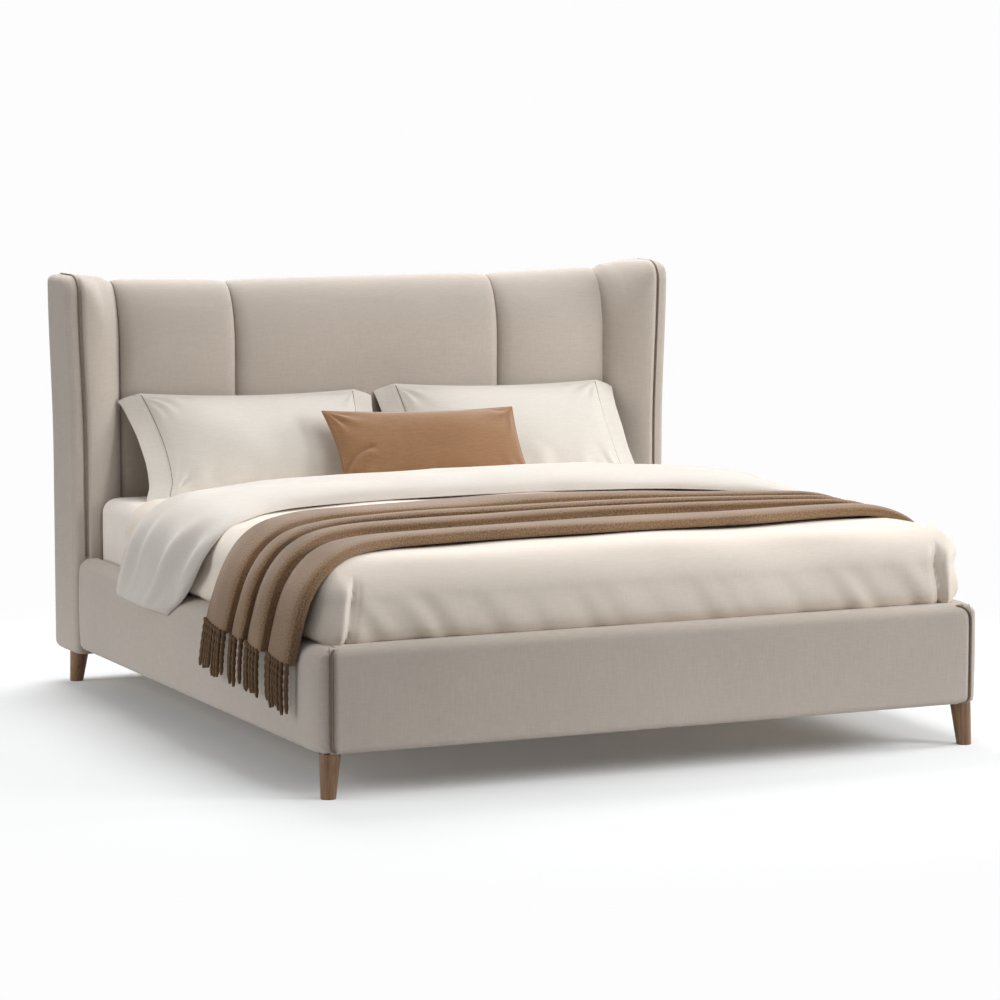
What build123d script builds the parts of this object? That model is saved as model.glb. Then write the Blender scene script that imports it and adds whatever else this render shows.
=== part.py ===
from build123d import *
import math
import os

# An upholstered king-size bed with a winged, channelled headboard, fully dressed.
# All lengths are millimetres. X runs across the bed, Y from foot to head, Z up from the floor.
# The model is laid out with Y = 0 at the front face of the footboard and is centred on export.

# Driving sizes of the frame
BASE_WIDTH = 2100
OVERALL_LENGTH = 2302
RAIL_BOTTOM = 125
RAIL_HEIGHT = 295
HEAD_BOTTOM = 105
CHANNEL_TOP = 1290
WING_RISE = 35
FIT = 0.3
OVERRUN = 50

# Side rails: a board inside a padded skin
RAIL_THICK = 60
RAIL_BOARD = 28
RAIL_OUTER_PAD = 22
RAIL_TOP_PAD = 25
RAIL_TOP_ROUND = 24
RAIL_LOW_ROUND = 14
RAIL_END_ROUND = 30
RAIL_REAR_GAP = 0.5
WELT_SETBACK = 12

# Footboard: a board inside a padded skin, with a welt round its front panel
FOOT_THICK = 78
FOOT_BOARD = 25
FOOT_FRONT_PAD = 30
FOOT_PANEL_ROUND = 40
FOOT_LOW_ROUND = 18
FOOT_TOP_ROUND = 20
FOOT_CROWN = 5
WELT_RADIUS = 4.5
WELT_ROOM = 0.4
WELT_INSET = 37.5
WELT_SINK = 3

# Headboard: a board on a timber frame, with three padded channels that roll over its top
BACK_COVER = 12
POST_DEPTH = 37
CORE_BOARD = 18
CORE_DROP = 50
CORE_BOTTOM = 250
POST_WIDTH = 69
CROSS_RAIL = 70
PANEL_BOTTOM = 345
PAD_DEPTH = 60
ROLL_RADIUS = 90
ROLL_BACK_RADIUS = 20
CHANNEL_CROWN = 26
SIDE_CHANNEL = 395
CHANNEL_GAP = 1
CHANNEL_STATION_SHARES = (0.0, 0.12, 0.5, 0.88, 1.0)
CHANNEL_CROWN_SHARES = (0.0, 0.62, 1.0, 0.62, 0.0)
SWEEP_RISE = 12

# Wings: a shaped board between a thick inner pad and a thin outer skin
WING_BOARD = 25
WING_BOARD_INSET = 20
WING_BOARD_SETBACK = 11
WING_DEPTH = 207
WING_OVERHANG = 24
WING_PAD_WIDTH = 165
WING_CORNER = 60
WING_SIDE_ROUND = 22
WING_REAR_ROUND = 30
WING_FOOT_ROUND = 36
WING_PAD_BULGE = 7
WING_PAD_SHARES = ((0.0, 0.0), (0.35, 1.0), (0.7, 1.0), (1.0, 0.0))
WING_BASE_WIDTH = 105
WING_PIPING_RADIUS = 5

# Mattress support
LEDGER_WIDTH = 35
LEDGER_HEIGHT = 40
SLAT_THICK = 20
SLAT_WIDTH = 110
SLAT_ROUND = 5
SLAT_COUNT = 11
SLAT_FIRST_Y = 165
SLAT_LAST_SETBACK = 105
SLAT_TOP = 330
BEAM_WIDTH = 60
BEAM_HEIGHT = 60
BEAM_GAP = 4
HANGER_STEEL = 3
HANGER_CHEEK = 50
CENTRE_LEG_RADIUS = 19
CENTRE_LEG_WALL = 2
CENTRE_LEG_PLATE = 4
CENTRE_LEG_YS_SHARES = (0.35, 0.65)
LEVELLER_RADIUS = 24
LEVELLER_PAD = 10
LEVELLER_ROUND = 2.5
LEVELLER_STEM = 5
LEVELLER_TRAVEL = 10
LEVELLER_PLUG = 16
LEVELLER_THREAD = 60

# Legs and fasteners
LEG_INSET = 47
LEG_FRONT_Y = 45
LEG_REAR_SETBACK = 87
LEG_TOP_RADIUS = 31
LEG_FOOT_RADIUS = 21.5
LEG_SPLAY = 9
LEG_BOLT_RADIUS = 4
LEG_BOLT_DEPTH = 45
LEG_BOLT_INSIDE = 40
BRACKET_LEG = 55
BRACKET_HEIGHT = 120
BRACKET_STEEL = 4
BRACKET_DROP = 60
BOLT_RADIUS = 4
BOLT_HEAD_RADIUS = 7.5
BOLT_HEAD = 4
BOLT_REACH = 39
BOLT_HEIGHT_SHARES = (0.25, 0.75)
BOLT_OUT_SHARE = 0.6

# Mattress and bedding
MATTRESS_SIDE_GAP = 85
MATTRESS_HEAD_GAP = 172
MATTRESS_THICK = 275
MATTRESS_FOOT_Y = 100
MATTRESS_CORNER = 70
MATTRESS_EDGE = 26
SHEET_THICK = 1.5
SHEET_DROP = 235
DUVET_OUT = 42
DUVET_TUCK = 12
DUVET_TUCK_DEPTH = 15
DUVET_TOP = 640
DUVET_CROWN = 6
DUVET_SHOULDER = 62
DUVET_FOOT_SHOULDER = 48
DUVET_FOOT_Y = 62
DUVET_CORNER = 46
PLEAT_WIDTH = 9
PLEAT_DEPTH = 16
PLEAT_LEAN = 30
FOLD_FRONT_SETBACK = 795
FOLD_REAR_SETBACK = 400
FOLD_HEIGHT = 44
FOLD_ROUND = 20
FOLD_SWEEP_SIDE = 495
FOLD_BOW_OUT = 50
FOLD_BOW_BACK = 40
FLAP_THICK = 12
FLAP_GAP = 3
FLAP_DROP = 65
FLAP_FRONT_SETBACK = 1145
FLAP_REAR_SETBACK = 475
FLAP_CORNER = 150
THROW_THICK = 13
THROW_RIDGES = 5
THROW_RIDGE = 7
THROW_LIFT = 1.1
THROW_FRINGE = 132
THROW_HEM = 50
THROW_NEAR_Y = 310
THROW_FAR_SETBACK = 868
THROW_BENDS = (5, 22, 39, 56, 73, 90)
THROW_HEM_SHARES = (-0.16, 0.53)
THROW_RAIL_SHARES = (-0.2, 0.5)
THROW_SIDE_SHARES = (-0.22, 0.44)
THROW_RIGHT_SHARES = (0.0, 0.6)
THROW_TOP_SHARES = ((-0.78, (-0.08, 0.8)), (-0.5, (0.0, 1.0)), (0.0, (0.0, 1.0)),
                    (0.5, (0.02, 0.9)), (0.8, (0.02, 0.72)))
THROW_TASSELS = 26
TASSEL_THICK = 6
TASSEL_HALF_SHARE = 0.36
PILLOW_SIDE_GAP = 80
PILLOW_HEIGHT = 387
PILLOW_THICK = 150
PILLOW_EDGE = 7
PILLOW_FLANGE = 72
PILLOW_HEM = 8
PILLOW_CORNER = 14
PILLOW_SLOPE = 56
PILLOW_GAP = 10
CUSHION_WIDTH = 670
CUSHION_HEIGHT = 330
CUSHION_THICK = 124
CUSHION_EDGE = 7
CUSHION_X = 65
CORNER_PULL = 8
SEAM_PUFF = 0.7
FULLNESS_SHARES = ((-1, 0.0), (-0.86, 0.62), (-0.5, 0.95), (0, 1.0), (0.5, 0.95), (0.86, 0.62), (1, 0.0))
SOFT_GAP = 0.3

# Places worked out from the sizes above
half_base = BASE_WIDTH / 2
wing_top = CHANNEL_TOP + WING_RISE
core_top = CHANNEL_TOP - CORE_DROP
post_back_y = OVERALL_LENGTH - BACK_COVER
core_face_y = post_back_y - POST_DEPTH - CORE_BOARD
seam_y = core_face_y - PAD_DEPTH
wing_front_y = OVERALL_LENGTH - WING_DEPTH
wing_inner_x = half_base - WING_BOARD_INSET
wing_outer_x = half_base + WING_OVERHANG
side_seam_x = wing_inner_x - WING_PAD_WIDTH
centre_seam_x = side_seam_x - SIDE_CHANNEL
leg_x = half_base - LEG_INSET
leg_rear_y = OVERALL_LENGTH - LEG_REAR_SETBACK
rail_top = RAIL_BOTTOM + RAIL_HEIGHT
rail_rear_y = wing_front_y - RAIL_REAR_GAP
rail_inner_x = half_base - RAIL_THICK
rail_board_x = half_base - RAIL_OUTER_PAD - RAIL_BOARD
ledger_top = SLAT_TOP - SLAT_THICK
mattress_bottom = SLAT_TOP
mattress_top = mattress_bottom + MATTRESS_THICK
mattress_head_y = OVERALL_LENGTH - MATTRESS_HEAD_GAP
half_mattress = half_base - MATTRESS_SIDE_GAP
slat_last_y = mattress_head_y - SLAT_LAST_SETBACK
fold_front_y = mattress_head_y - FOLD_FRONT_SETBACK
fold_rear_y = mattress_head_y - FOLD_REAR_SETBACK
flap_front_y = mattress_head_y - FLAP_FRONT_SETBACK
flap_rear_y = mattress_head_y - FLAP_REAR_SETBACK
throw_far_y = mattress_head_y - THROW_FAR_SETBACK
pillow_width = half_mattress - PILLOW_SIDE_GAP - PILLOW_GAP / 2
sheet_out = FIT + SHEET_THICK
duvet_half = half_mattress + DUVET_OUT
flap_in = half_base + FLAP_GAP
flap_out = flap_in + FLAP_THICK
welt_x = half_base - WELT_INSET
sides = {"left": -1, "right": 1}


def block(x0, x1, y0, y1, z0, z1):
    """A box between two corners."""
    size = Box(abs(x1 - x0), abs(y1 - y0), abs(z1 - z0))
    return Pos((x0 + x1) / 2, (y0 + y1) / 2, (z0 + z1) / 2) * size


def plan_solid(outline, z0, z1):
    """An XY outline raised between two heights."""
    return extrude(Pos(0, 0, z0) * make_face(outline), z1 - z0, dir=(0, 0, 1))


def across_solid(outline, x0, x1):
    """An outline drawn in Y (first) and Z (second), run along X."""
    face = Plane.YZ.offset(x0) * make_face(outline)
    return extrude(face, x1 - x0, dir=(1, 0, 0))


def along_solid(outline, y0, y1):
    """An outline drawn in X (first) and Z (second), run along Y from y0 to y1."""
    face = Plane.XZ.offset(-y1) * make_face(outline)
    return extrude(face, y1 - y0, dir=(0, -1, 0))


def rounded_outline(points, radii):
    """A closed polygon whose corners are rounded by the radii given, 0 for a sharp one."""
    edges = []
    count = len(points)
    stops = []
    for i in range(count):
        here = Vector(*points[i])
        before = Vector(*points[i - 1])
        after = Vector(*points[(i + 1) % count])
        back = (before - here).normalized()
        ahead = (after - here).normalized()
        half_angle = math.radians(back.get_angle(ahead)) / 2
        reach = radii[i] / math.tan(half_angle)
        start = here + back * reach
        end = here + ahead * reach
        middle = here
        if radii[i]:
            centre_way = (back + ahead).normalized()
            middle = here + centre_way * (radii[i] / math.sin(half_angle) - radii[i])
        stops.append((start, middle, end))
    for i in range(count):
        start, middle, end = stops[i]
        if radii[i]:
            edges.append(ThreePointArc(start, middle, end))
        edges.append(Line(end, stops[(i + 1) % count][0]))
    return Curve() + edges


def mirrored(part, side):
    """A piece modelled on the right, placed on the side asked for."""
    return part if side > 0 else part.mirror(Plane.YZ)


def cushion_slab(half_width, y0, y1, z0, z1, corner, edge):
    """A slab with rounded upright corners and a rounded top edge."""
    outline = RectangleRounded(2 * half_width, y1 - y0, corner)
    body = extrude(Pos(0, (y0 + y1) / 2, z0) * outline, z1 - z0)
    top_edges = body.edges().group_by(Axis.Z)[-1]
    return fillet(top_edges, edge)


# Side rails

def rail_section(inset_outer, inset_inner, inset_top, rounds):
    outer = half_base - inset_outer
    inner = rail_inner_x + inset_inner
    top = rail_top - inset_top
    points = [(inner, RAIL_BOTTOM), (outer, RAIL_BOTTOM), (outer, top), (inner, top)]
    return rounded_outline(points, rounds)


def side_rail_core():
    return block(rail_board_x, rail_board_x + RAIL_BOARD, FOOT_FRONT_PAD + FIT, rail_rear_y,
                 RAIL_BOTTOM, rail_top - RAIL_TOP_PAD)


def side_rail_cover():
    section = rail_section(0, 0, 0, [0, RAIL_LOW_ROUND, RAIL_TOP_ROUND, RAIL_LOW_ROUND])
    body = along_solid(section, WELT_SETBACK, rail_rear_y)
    notch_x = welt_x + WELT_RADIUS + WELT_ROOM
    notch_y = FOOT_FRONT_PAD
    outline = [(rail_inner_x, notch_y), (notch_x, notch_y), (notch_x, WELT_SETBACK),
               (half_base, WELT_SETBACK), (half_base, rail_rear_y), (rail_inner_x, rail_rear_y)]
    plan = rounded_outline(outline, [0, 0, 0, RAIL_END_ROUND, 0, 0])
    end_points = [(WELT_SETBACK, RAIL_BOTTOM), (rail_rear_y, RAIL_BOTTOM), (rail_rear_y, rail_top),
                  (WELT_SETBACK, rail_top)]
    profile = rounded_outline(end_points, [RAIL_LOW_ROUND, 0, 0, RAIL_TOP_ROUND])
    body = body & plan_solid(plan, 0, rail_top + OVERRUN)
    body = body & across_solid(profile, 0, half_base + OVERRUN)
    return body - side_rail_core()


def side_ledger():
    return block(rail_inner_x - LEDGER_WIDTH, rail_inner_x, FOOT_THICK + BRACKET_LEG,
                 rail_rear_y - BRACKET_LEG, ledger_top - LEDGER_HEIGHT, ledger_top)


# Footboard

def footboard_core():
    reach = rail_inner_x - FIT
    return block(-reach, reach, FOOT_FRONT_PAD, FOOT_FRONT_PAD + FOOT_BOARD,
                 RAIL_BOTTOM, rail_top - RAIL_TOP_PAD)


def front_panel():
    """The crowned front panel that the welt runs round."""
    inset = WELT_RADIUS + WELT_ROOM
    x = welt_x - inset
    low = RAIL_BOTTOM + WELT_SINK + inset
    high = rail_top - WELT_SINK - inset
    corners = [(-x, low), (x, low), (x, high), (-x, high)]
    face = rounded_outline(corners, [FOOT_LOW_ROUND, FOOT_LOW_ROUND, FOOT_PANEL_ROUND, FOOT_PANEL_ROUND])
    wide = half_base
    plan = Curve() + [
        ThreePointArc((-wide, FOOT_CROWN), (0, 0), (wide, FOOT_CROWN)),
        Polyline((wide, FOOT_CROWN), (wide, FOOT_THICK), (-wide, FOOT_THICK), (-wide, FOOT_CROWN))]
    return along_solid(face, -OVERRUN, WELT_SETBACK) & plan_solid(plan, 0, rail_top)


def footboard_cover():
    wide = welt_x + WELT_RADIUS - WELT_ROOM
    reach = rail_inner_x - FIT
    corners = [(WELT_SETBACK, RAIL_BOTTOM), (FOOT_THICK, RAIL_BOTTOM), (FOOT_THICK, rail_top),
               (WELT_SETBACK, rail_top)]
    section = rounded_outline(corners, [FOOT_LOW_ROUND / 2, FOOT_LOW_ROUND / 2, FOOT_TOP_ROUND,
                                        FOOT_LOW_ROUND / 2])
    step = FOOT_FRONT_PAD - FIT
    plan = Polyline((wide, WELT_SETBACK), (wide, step), (reach, step), (reach, FOOT_THICK),
                    (-reach, FOOT_THICK), (-reach, step), (-wide, step), (-wide, WELT_SETBACK),
                    close=True)
    body = across_solid(section, -wide, wide) & plan_solid(plan, 0, rail_top)
    return body + front_panel() - footboard_core()


def footboard_piping():
    """One closed welt round the front panel."""
    y = WELT_SETBACK - WELT_RADIUS - WELT_ROOM
    low = RAIL_BOTTOM + WELT_SINK
    high = rail_top - WELT_SINK
    inset = WELT_RADIUS + WELT_ROOM
    corners = [(-welt_x, low), (welt_x, low), (welt_x, high), (-welt_x, high)]
    outline = rounded_outline(corners, [FOOT_LOW_ROUND + inset, FOOT_LOW_ROUND + inset,
                                        FOOT_PANEL_ROUND + inset, FOOT_PANEL_ROUND + inset])
    path = (Plane.XZ.offset(-y) * outline).wire()
    profile = Plane(origin=path.position_at(0), z_dir=path.tangent_at(0)) * Circle(WELT_RADIUS)
    return sweep(profile, path=path)


# Headboard

def headboard_core():
    return block(-wing_inner_x, wing_inner_x, core_face_y, core_face_y + CORE_BOARD,
                 CORE_BOTTOM, core_top)


def headboard_post():
    return block(wing_inner_x - POST_WIDTH, wing_inner_x, core_face_y + CORE_BOARD,
                 post_back_y, HEAD_BOTTOM, core_top)


def cross_rail(z0):
    reach = wing_inner_x - POST_WIDTH
    return block(-reach, reach, core_face_y + CORE_BOARD, post_back_y, z0, z0 + CROSS_RAIL)


def pad_section(x, front_y, top_z, bottom_z, roll=ROLL_RADIUS):
    """One upright slice of a headboard pad: face, roll over the top, hook behind the board."""
    roll_mid = roll * (1 - math.sqrt(0.5))
    back_mid = ROLL_BACK_RADIUS * (1 - math.sqrt(0.5))
    inner_y = core_face_y - FIT
    inner_z = core_top + FIT
    points = Curve() + [
        Line((front_y, bottom_z), (front_y, top_z - roll)),
        ThreePointArc((front_y, top_z - roll), (front_y + roll_mid, top_z - roll_mid),
                      (front_y + roll, top_z)),
        Line((front_y + roll, top_z), (post_back_y - ROLL_BACK_RADIUS, top_z)),
        ThreePointArc((post_back_y - ROLL_BACK_RADIUS, top_z),
                      (post_back_y - back_mid, top_z - back_mid),
                      (post_back_y, top_z - ROLL_BACK_RADIUS)),
        Polyline((post_back_y, top_z - ROLL_BACK_RADIUS), (post_back_y, inner_z),
                 (inner_y, inner_z), (inner_y, bottom_z), (front_y, bottom_z))]
    return Plane.YZ.offset(x) * make_face(points)


def sweep_top(x):
    """Top height of the pads: level in the middle, swept up into the wings."""
    start = centre_seam_x
    middle = side_seam_x
    if x <= start:
        return CHANNEL_TOP
    if x <= middle:
        return CHANNEL_TOP + SWEEP_RISE * ((x - start) / (middle - start)) ** 2
    rise = wing_top - CHANNEL_TOP - SWEEP_RISE
    return CHANNEL_TOP + SWEEP_RISE + rise * (x - middle) / (wing_inner_x - middle)


def channel(x0, x1):
    """A padded channel between two seams, crowned in the middle and drawn in at the seams."""
    slices = []
    for share, crown in zip(CHANNEL_STATION_SHARES, CHANNEL_CROWN_SHARES):
        x = x0 + (x1 - x0) * share
        front = seam_y - CHANNEL_CROWN * crown
        slices.append(pad_section(x, front, sweep_top(abs(x)), PANEL_BOTTOM))
    return loft(slices)


def headboard_panel_centre():
    reach = centre_seam_x - CHANNEL_GAP / 2
    return channel(-reach, reach)


def headboard_panel_side():
    return channel(centre_seam_x + CHANNEL_GAP / 2, side_seam_x - CHANNEL_GAP / 2)


def headboard_back_cover():
    reach = wing_inner_x
    return block(-reach, reach, post_back_y, OVERALL_LENGTH, HEAD_BOTTOM, core_top)


# Wings

def wing_outline(inset):
    """The wing's side view: upright front edge, round front corner, flat top."""
    front = wing_front_y + inset
    back = OVERALL_LENGTH - inset
    low = HEAD_BOTTOM + inset
    high = wing_top - inset
    points = [(front, low), (back, low), (back, high), (front, high)]
    return rounded_outline(points, [WING_FOOT_ROUND, WING_FOOT_ROUND, WING_REAR_ROUND,
                                    WING_CORNER - inset])


def wing_board():
    body = across_solid(wing_outline(WING_BOARD_SETBACK), wing_inner_x, wing_inner_x + WING_BOARD)
    return body & block(0, half_base + OVERRUN, 0, post_back_y, HEAD_BOTTOM, wing_top)


def wing_base():
    """The timber block that the side rail's bracket and the rear leg are bolted to."""
    body = block(wing_inner_x - WING_BASE_WIDTH, wing_inner_x, wing_front_y, core_face_y + CORE_BOARD,
                 HEAD_BOTTOM, ledger_top)
    return body - headboard_core()


def wing_pad():
    x0 = side_seam_x + CHANNEL_GAP / 2
    x1 = wing_inner_x
    slices = []
    for share, bulge in WING_PAD_SHARES:
        x = x0 + (x1 - x0) * share
        front = seam_y + (wing_front_y - seam_y) * share - WING_PAD_BULGE * bulge
        roll = ROLL_RADIUS + (WING_CORNER - ROLL_RADIUS) * share
        slices.append(pad_section(x, front, sweep_top(x), ledger_top + FIT, roll))
    return loft(slices)


def wing_side():
    body = across_solid(wing_outline(0), wing_inner_x, wing_outer_x)
    body = fillet(body.edges().group_by(Axis.X)[-1], WING_SIDE_ROUND)
    return body - wing_board()


def wing_piping():
    x = wing_inner_x + WING_PIPING_RADIUS
    y = wing_front_y - WING_PIPING_RADIUS - WELT_ROOM
    high = wing_top + WING_PIPING_RADIUS + WELT_ROOM
    low = rail_top + WELT_ROOM
    corner = WING_CORNER + WING_PIPING_RADIUS
    middle = corner * (1 - math.sqrt(0.5))
    path = Curve() + [
        Line((x, y, low), (x, y, high - corner)),
        ThreePointArc((x, y, high - corner), (x, y + middle, high - middle), (x, y + corner, high)),
        Line((x, y + corner, high), (x, post_back_y, high))]
    profile = Pos(x, y, low) * Circle(WING_PIPING_RADIUS)
    return sweep(profile, path=path.wire())


# Mattress support

def centre_beam():
    return block(-BEAM_WIDTH / 2, BEAM_WIDTH / 2, FOOT_THICK + BEAM_GAP, core_face_y - BEAM_GAP,
                 ledger_top - BEAM_HEIGHT, ledger_top)


def beam_hanger(wall_y, inward):
    """A folded steel saddle: a plate on the wall and a channel under the beam's end."""
    half = BEAM_WIDTH / 2 + FIT
    floor = ledger_top - BEAM_HEIGHT - FIT
    far = wall_y + inward * (BEAM_GAP + HANGER_CHEEK)
    plate = block(-half - HANGER_CHEEK / 2, half + HANGER_CHEEK / 2, wall_y,
                  wall_y + inward * HANGER_STEEL, floor - HANGER_STEEL, ledger_top)
    shell = block(-half - HANGER_STEEL, half + HANGER_STEEL, wall_y, far, floor - HANGER_STEEL,
                  ledger_top)
    room = block(-half, half, wall_y + inward * HANGER_STEEL, far, floor, ledger_top)
    return plate + shell - room


def beam_hangers():
    return [beam_hanger(FOOT_THICK, 1), beam_hanger(core_face_y, -1)]


def centre_leg(y):
    """A steel tube with a top flange and a threaded plug in its lower end."""
    top = ledger_top - BEAM_HEIGHT
    low = LEVELLER_PAD + LEVELLER_TRAVEL + FIT
    tube = Pos(0, y, low) * extrude(Circle(CENTRE_LEG_RADIUS), top - low)
    bore = Pos(0, y, low) * extrude(Circle(CENTRE_LEG_RADIUS - CENTRE_LEG_WALL),
                                    top - low - CENTRE_LEG_PLATE)
    plug = Pos(0, y, low) * extrude(Circle(CENTRE_LEG_RADIUS - CENTRE_LEG_WALL), LEVELLER_PLUG)
    hole = Pos(0, y, low) * extrude(Circle(LEVELLER_STEM + FIT), LEVELLER_PLUG)
    flange = block(-BEAM_WIDTH / 2, BEAM_WIDTH / 2, y - BEAM_WIDTH / 2, y + BEAM_WIDTH / 2,
                   top - CENTRE_LEG_PLATE, top)
    return tube - bore + (plug - hole) + flange


def leveller(y):
    """A round glide with a threaded stem that screws up into the centre leg."""
    pad = Pos(0, y, 0) * extrude(Circle(LEVELLER_RADIUS), LEVELLER_PAD)
    pad = chamfer(pad.edges().group_by(Axis.Z)[-1], LEVELLER_ROUND)
    stem = Pos(0, y, LEVELLER_PAD) * extrude(Circle(LEVELLER_STEM), LEVELLER_THREAD)
    return pad + stem


def slat(index):
    y = SLAT_FIRST_Y + (slat_last_y - SLAT_FIRST_Y) * index / (SLAT_COUNT - 1)
    reach = rail_inner_x - BEAM_GAP
    body = block(-reach, reach, y - SLAT_WIDTH / 2, y + SLAT_WIDTH / 2, ledger_top, SLAT_TOP)
    upright = body.edges().filter_by(Axis.Z)
    return fillet(upright, SLAT_ROUND)


# Legs, brackets and bolts

def leg(y, top_z):
    """A turned leg: a tapered cone that leans outwards, cut level at both ends."""
    away = 1 if y > OVERALL_LENGTH / 2 else -1
    top = Vector(leg_x, y, top_z)
    foot = Vector(leg_x + LEG_SPLAY, y + away * LEG_SPLAY, 0)
    way = (top - foot).normalized()
    taper = (LEG_TOP_RADIUS - LEG_FOOT_RADIUS) / (top - foot).length
    spare = LEG_TOP_RADIUS
    axis = Plane(origin=foot - way * spare, z_dir=way)
    body = axis * Cone(LEG_FOOT_RADIUS - taper * spare, LEG_TOP_RADIUS + taper * spare,
                       (top - foot).length + 2 * spare, align=(Align.CENTER, Align.CENTER, Align.MIN))
    level = block(0, BASE_WIDTH, y - BRACKET_HEIGHT, y + BRACKET_HEIGHT, 0, top_z)
    return (body & level) - leg_bolt(y, top_z)


def leg_bolt(y, top_z):
    return Pos(leg_x + LEG_SPLAY / 2, y, top_z - LEG_BOLT_DEPTH) * extrude(
        Circle(LEG_BOLT_RADIUS), LEG_BOLT_DEPTH + LEG_BOLT_INSIDE)


def corner_bracket(wall_y, inward):
    """A steel angle that joins a side rail to the board at its end."""
    x = rail_inner_x
    z0 = RAIL_BOTTOM + BRACKET_DROP
    on_rail = block(x - BRACKET_STEEL, x, wall_y, wall_y + inward * BRACKET_LEG, z0,
                    z0 + BRACKET_HEIGHT)
    on_wall = block(x - BRACKET_LEG, x, wall_y, wall_y + inward * BRACKET_STEEL, z0,
                    z0 + BRACKET_HEIGHT)
    return on_rail + on_wall


def bracket_places():
    return [(FOOT_THICK, 1), (rail_rear_y, -1)]


def bolt(x, y, z, way):
    """A button-head bolt: its head lies on the face at the point given, its shank goes along way."""
    plane = Plane(origin=(x, y, z), z_dir=way)
    shank = plane * extrude(Circle(BOLT_RADIUS), BOLT_REACH)
    head = plane * extrude(Circle(BOLT_HEAD_RADIUS), -BOLT_HEAD)
    return shank + head


def bracket_bolts_one_side():
    bolts = []
    out = BRACKET_LEG * BOLT_OUT_SHARE
    for wall_y, inward in bracket_places():
        for share in BOLT_HEIGHT_SHARES:
            z = RAIL_BOTTOM + BRACKET_DROP + BRACKET_HEIGHT * share
            bolts.append(bolt(rail_inner_x - BRACKET_STEEL, wall_y + inward * out, z, (1, 0, 0)))
            bolts.append(bolt(rail_inner_x - out, wall_y + inward * BRACKET_STEEL, z, (0, -inward, 0)))
    return bolts


# Mattress and bedding

def mattress():
    return cushion_slab(half_mattress, MATTRESS_FOOT_Y, mattress_head_y, mattress_bottom, mattress_top,
                        MATTRESS_CORNER, MATTRESS_EDGE)


def sheet_slab(grow, low):
    return cushion_slab(half_mattress + grow, MATTRESS_FOOT_Y - grow, mattress_head_y + grow, low,
                        mattress_top + grow, MATTRESS_CORNER + grow, MATTRESS_EDGE + grow)


def fitted_sheet():
    low = mattress_top - SHEET_DROP
    return sheet_slab(sheet_out, low) - sheet_slab(FIT, low)


def bedding_room():
    """The space that the mattress and its sheet take up, cleared out of the duvet."""
    return sheet_slab(sheet_out + FIT, mattress_bottom)


def duvet_profile_across():
    """Upright sides, round shoulders and a slightly crowned top, across the bed."""
    half = duvet_half
    low = rail_top + SOFT_GAP
    shoulder_z = DUVET_TOP - DUVET_SHOULDER
    bend = DUVET_SHOULDER * math.sqrt(0.5)
    edge_x = half - DUVET_SHOULDER
    return Curve() + [
        Line((-half, low), (half, low)),
        Line((half, low), (half, shoulder_z)),
        ThreePointArc((half, shoulder_z), (edge_x + bend, shoulder_z + bend), (edge_x, DUVET_TOP)),
        ThreePointArc((edge_x, DUVET_TOP), (0, DUVET_TOP + DUVET_CROWN), (-edge_x, DUVET_TOP)),
        ThreePointArc((-edge_x, DUVET_TOP), (-edge_x - bend, shoulder_z + bend), (-half, shoulder_z)),
        Line((-half, shoulder_z), (-half, low))]


def duvet_profile_along():
    """The bulge over the footboard, the round foot shoulder and the level top, along the bed."""
    low = rail_top + SOFT_GAP
    high = DUVET_TOP + DUVET_CROWN
    front = DUVET_FOOT_Y
    round_z = high - DUVET_FOOT_SHOULDER
    bend = DUVET_FOOT_SHOULDER * math.sqrt(0.5)
    return Curve() + [
        ThreePointArc((front + DUVET_TUCK, low), (front, (low + round_z) / 2),
                      (front + DUVET_TUCK, round_z)),
        ThreePointArc((front + DUVET_TUCK, round_z),
                      (front + DUVET_TUCK + DUVET_FOOT_SHOULDER - bend, round_z + bend),
                      (front + DUVET_TUCK + DUVET_FOOT_SHOULDER, high)),
        Polyline((front + DUVET_TUCK + DUVET_FOOT_SHOULDER, high), (fold_rear_y, high),
                 (fold_rear_y, low), (front + DUVET_TUCK, low))]


def duvet_tuck():
    """The thin skirt pushed down between the mattress and the rails."""
    grow = sheet_out + FIT + DUVET_TUCK
    low = rail_top - DUVET_TUCK_DEPTH
    outline = RectangleRounded(2 * (half_mattress + grow), mattress_head_y - MATTRESS_FOOT_Y + 2 * grow,
                               MATTRESS_CORNER + grow)
    middle = (MATTRESS_FOOT_Y + mattress_head_y) / 2
    skirt = extrude(Pos(0, middle, low) * outline, DUVET_TUCK_DEPTH + DUVET_TUCK)
    return skirt & block(-BASE_WIDTH, BASE_WIDTH, 0, fold_rear_y, 0, DUVET_TOP)


def pleat(side):
    """The folded corner at the foot: a slanting groove down the duvet's front face."""
    low = rail_top
    high = DUVET_TOP - DUVET_FOOT_SHOULDER
    x = half_mattress - DUVET_TUCK
    outline = Polyline((x, low), (x + PLEAT_WIDTH, low), (x + PLEAT_WIDTH / 2 - PLEAT_LEAN, high),
                       (x - PLEAT_WIDTH / 2 - PLEAT_LEAN, high), close=True)
    groove = along_solid(outline, DUVET_FOOT_Y - PLEAT_DEPTH, DUVET_FOOT_Y + DUVET_TUCK + PLEAT_DEPTH)
    return mirrored(groove, side)


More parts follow.
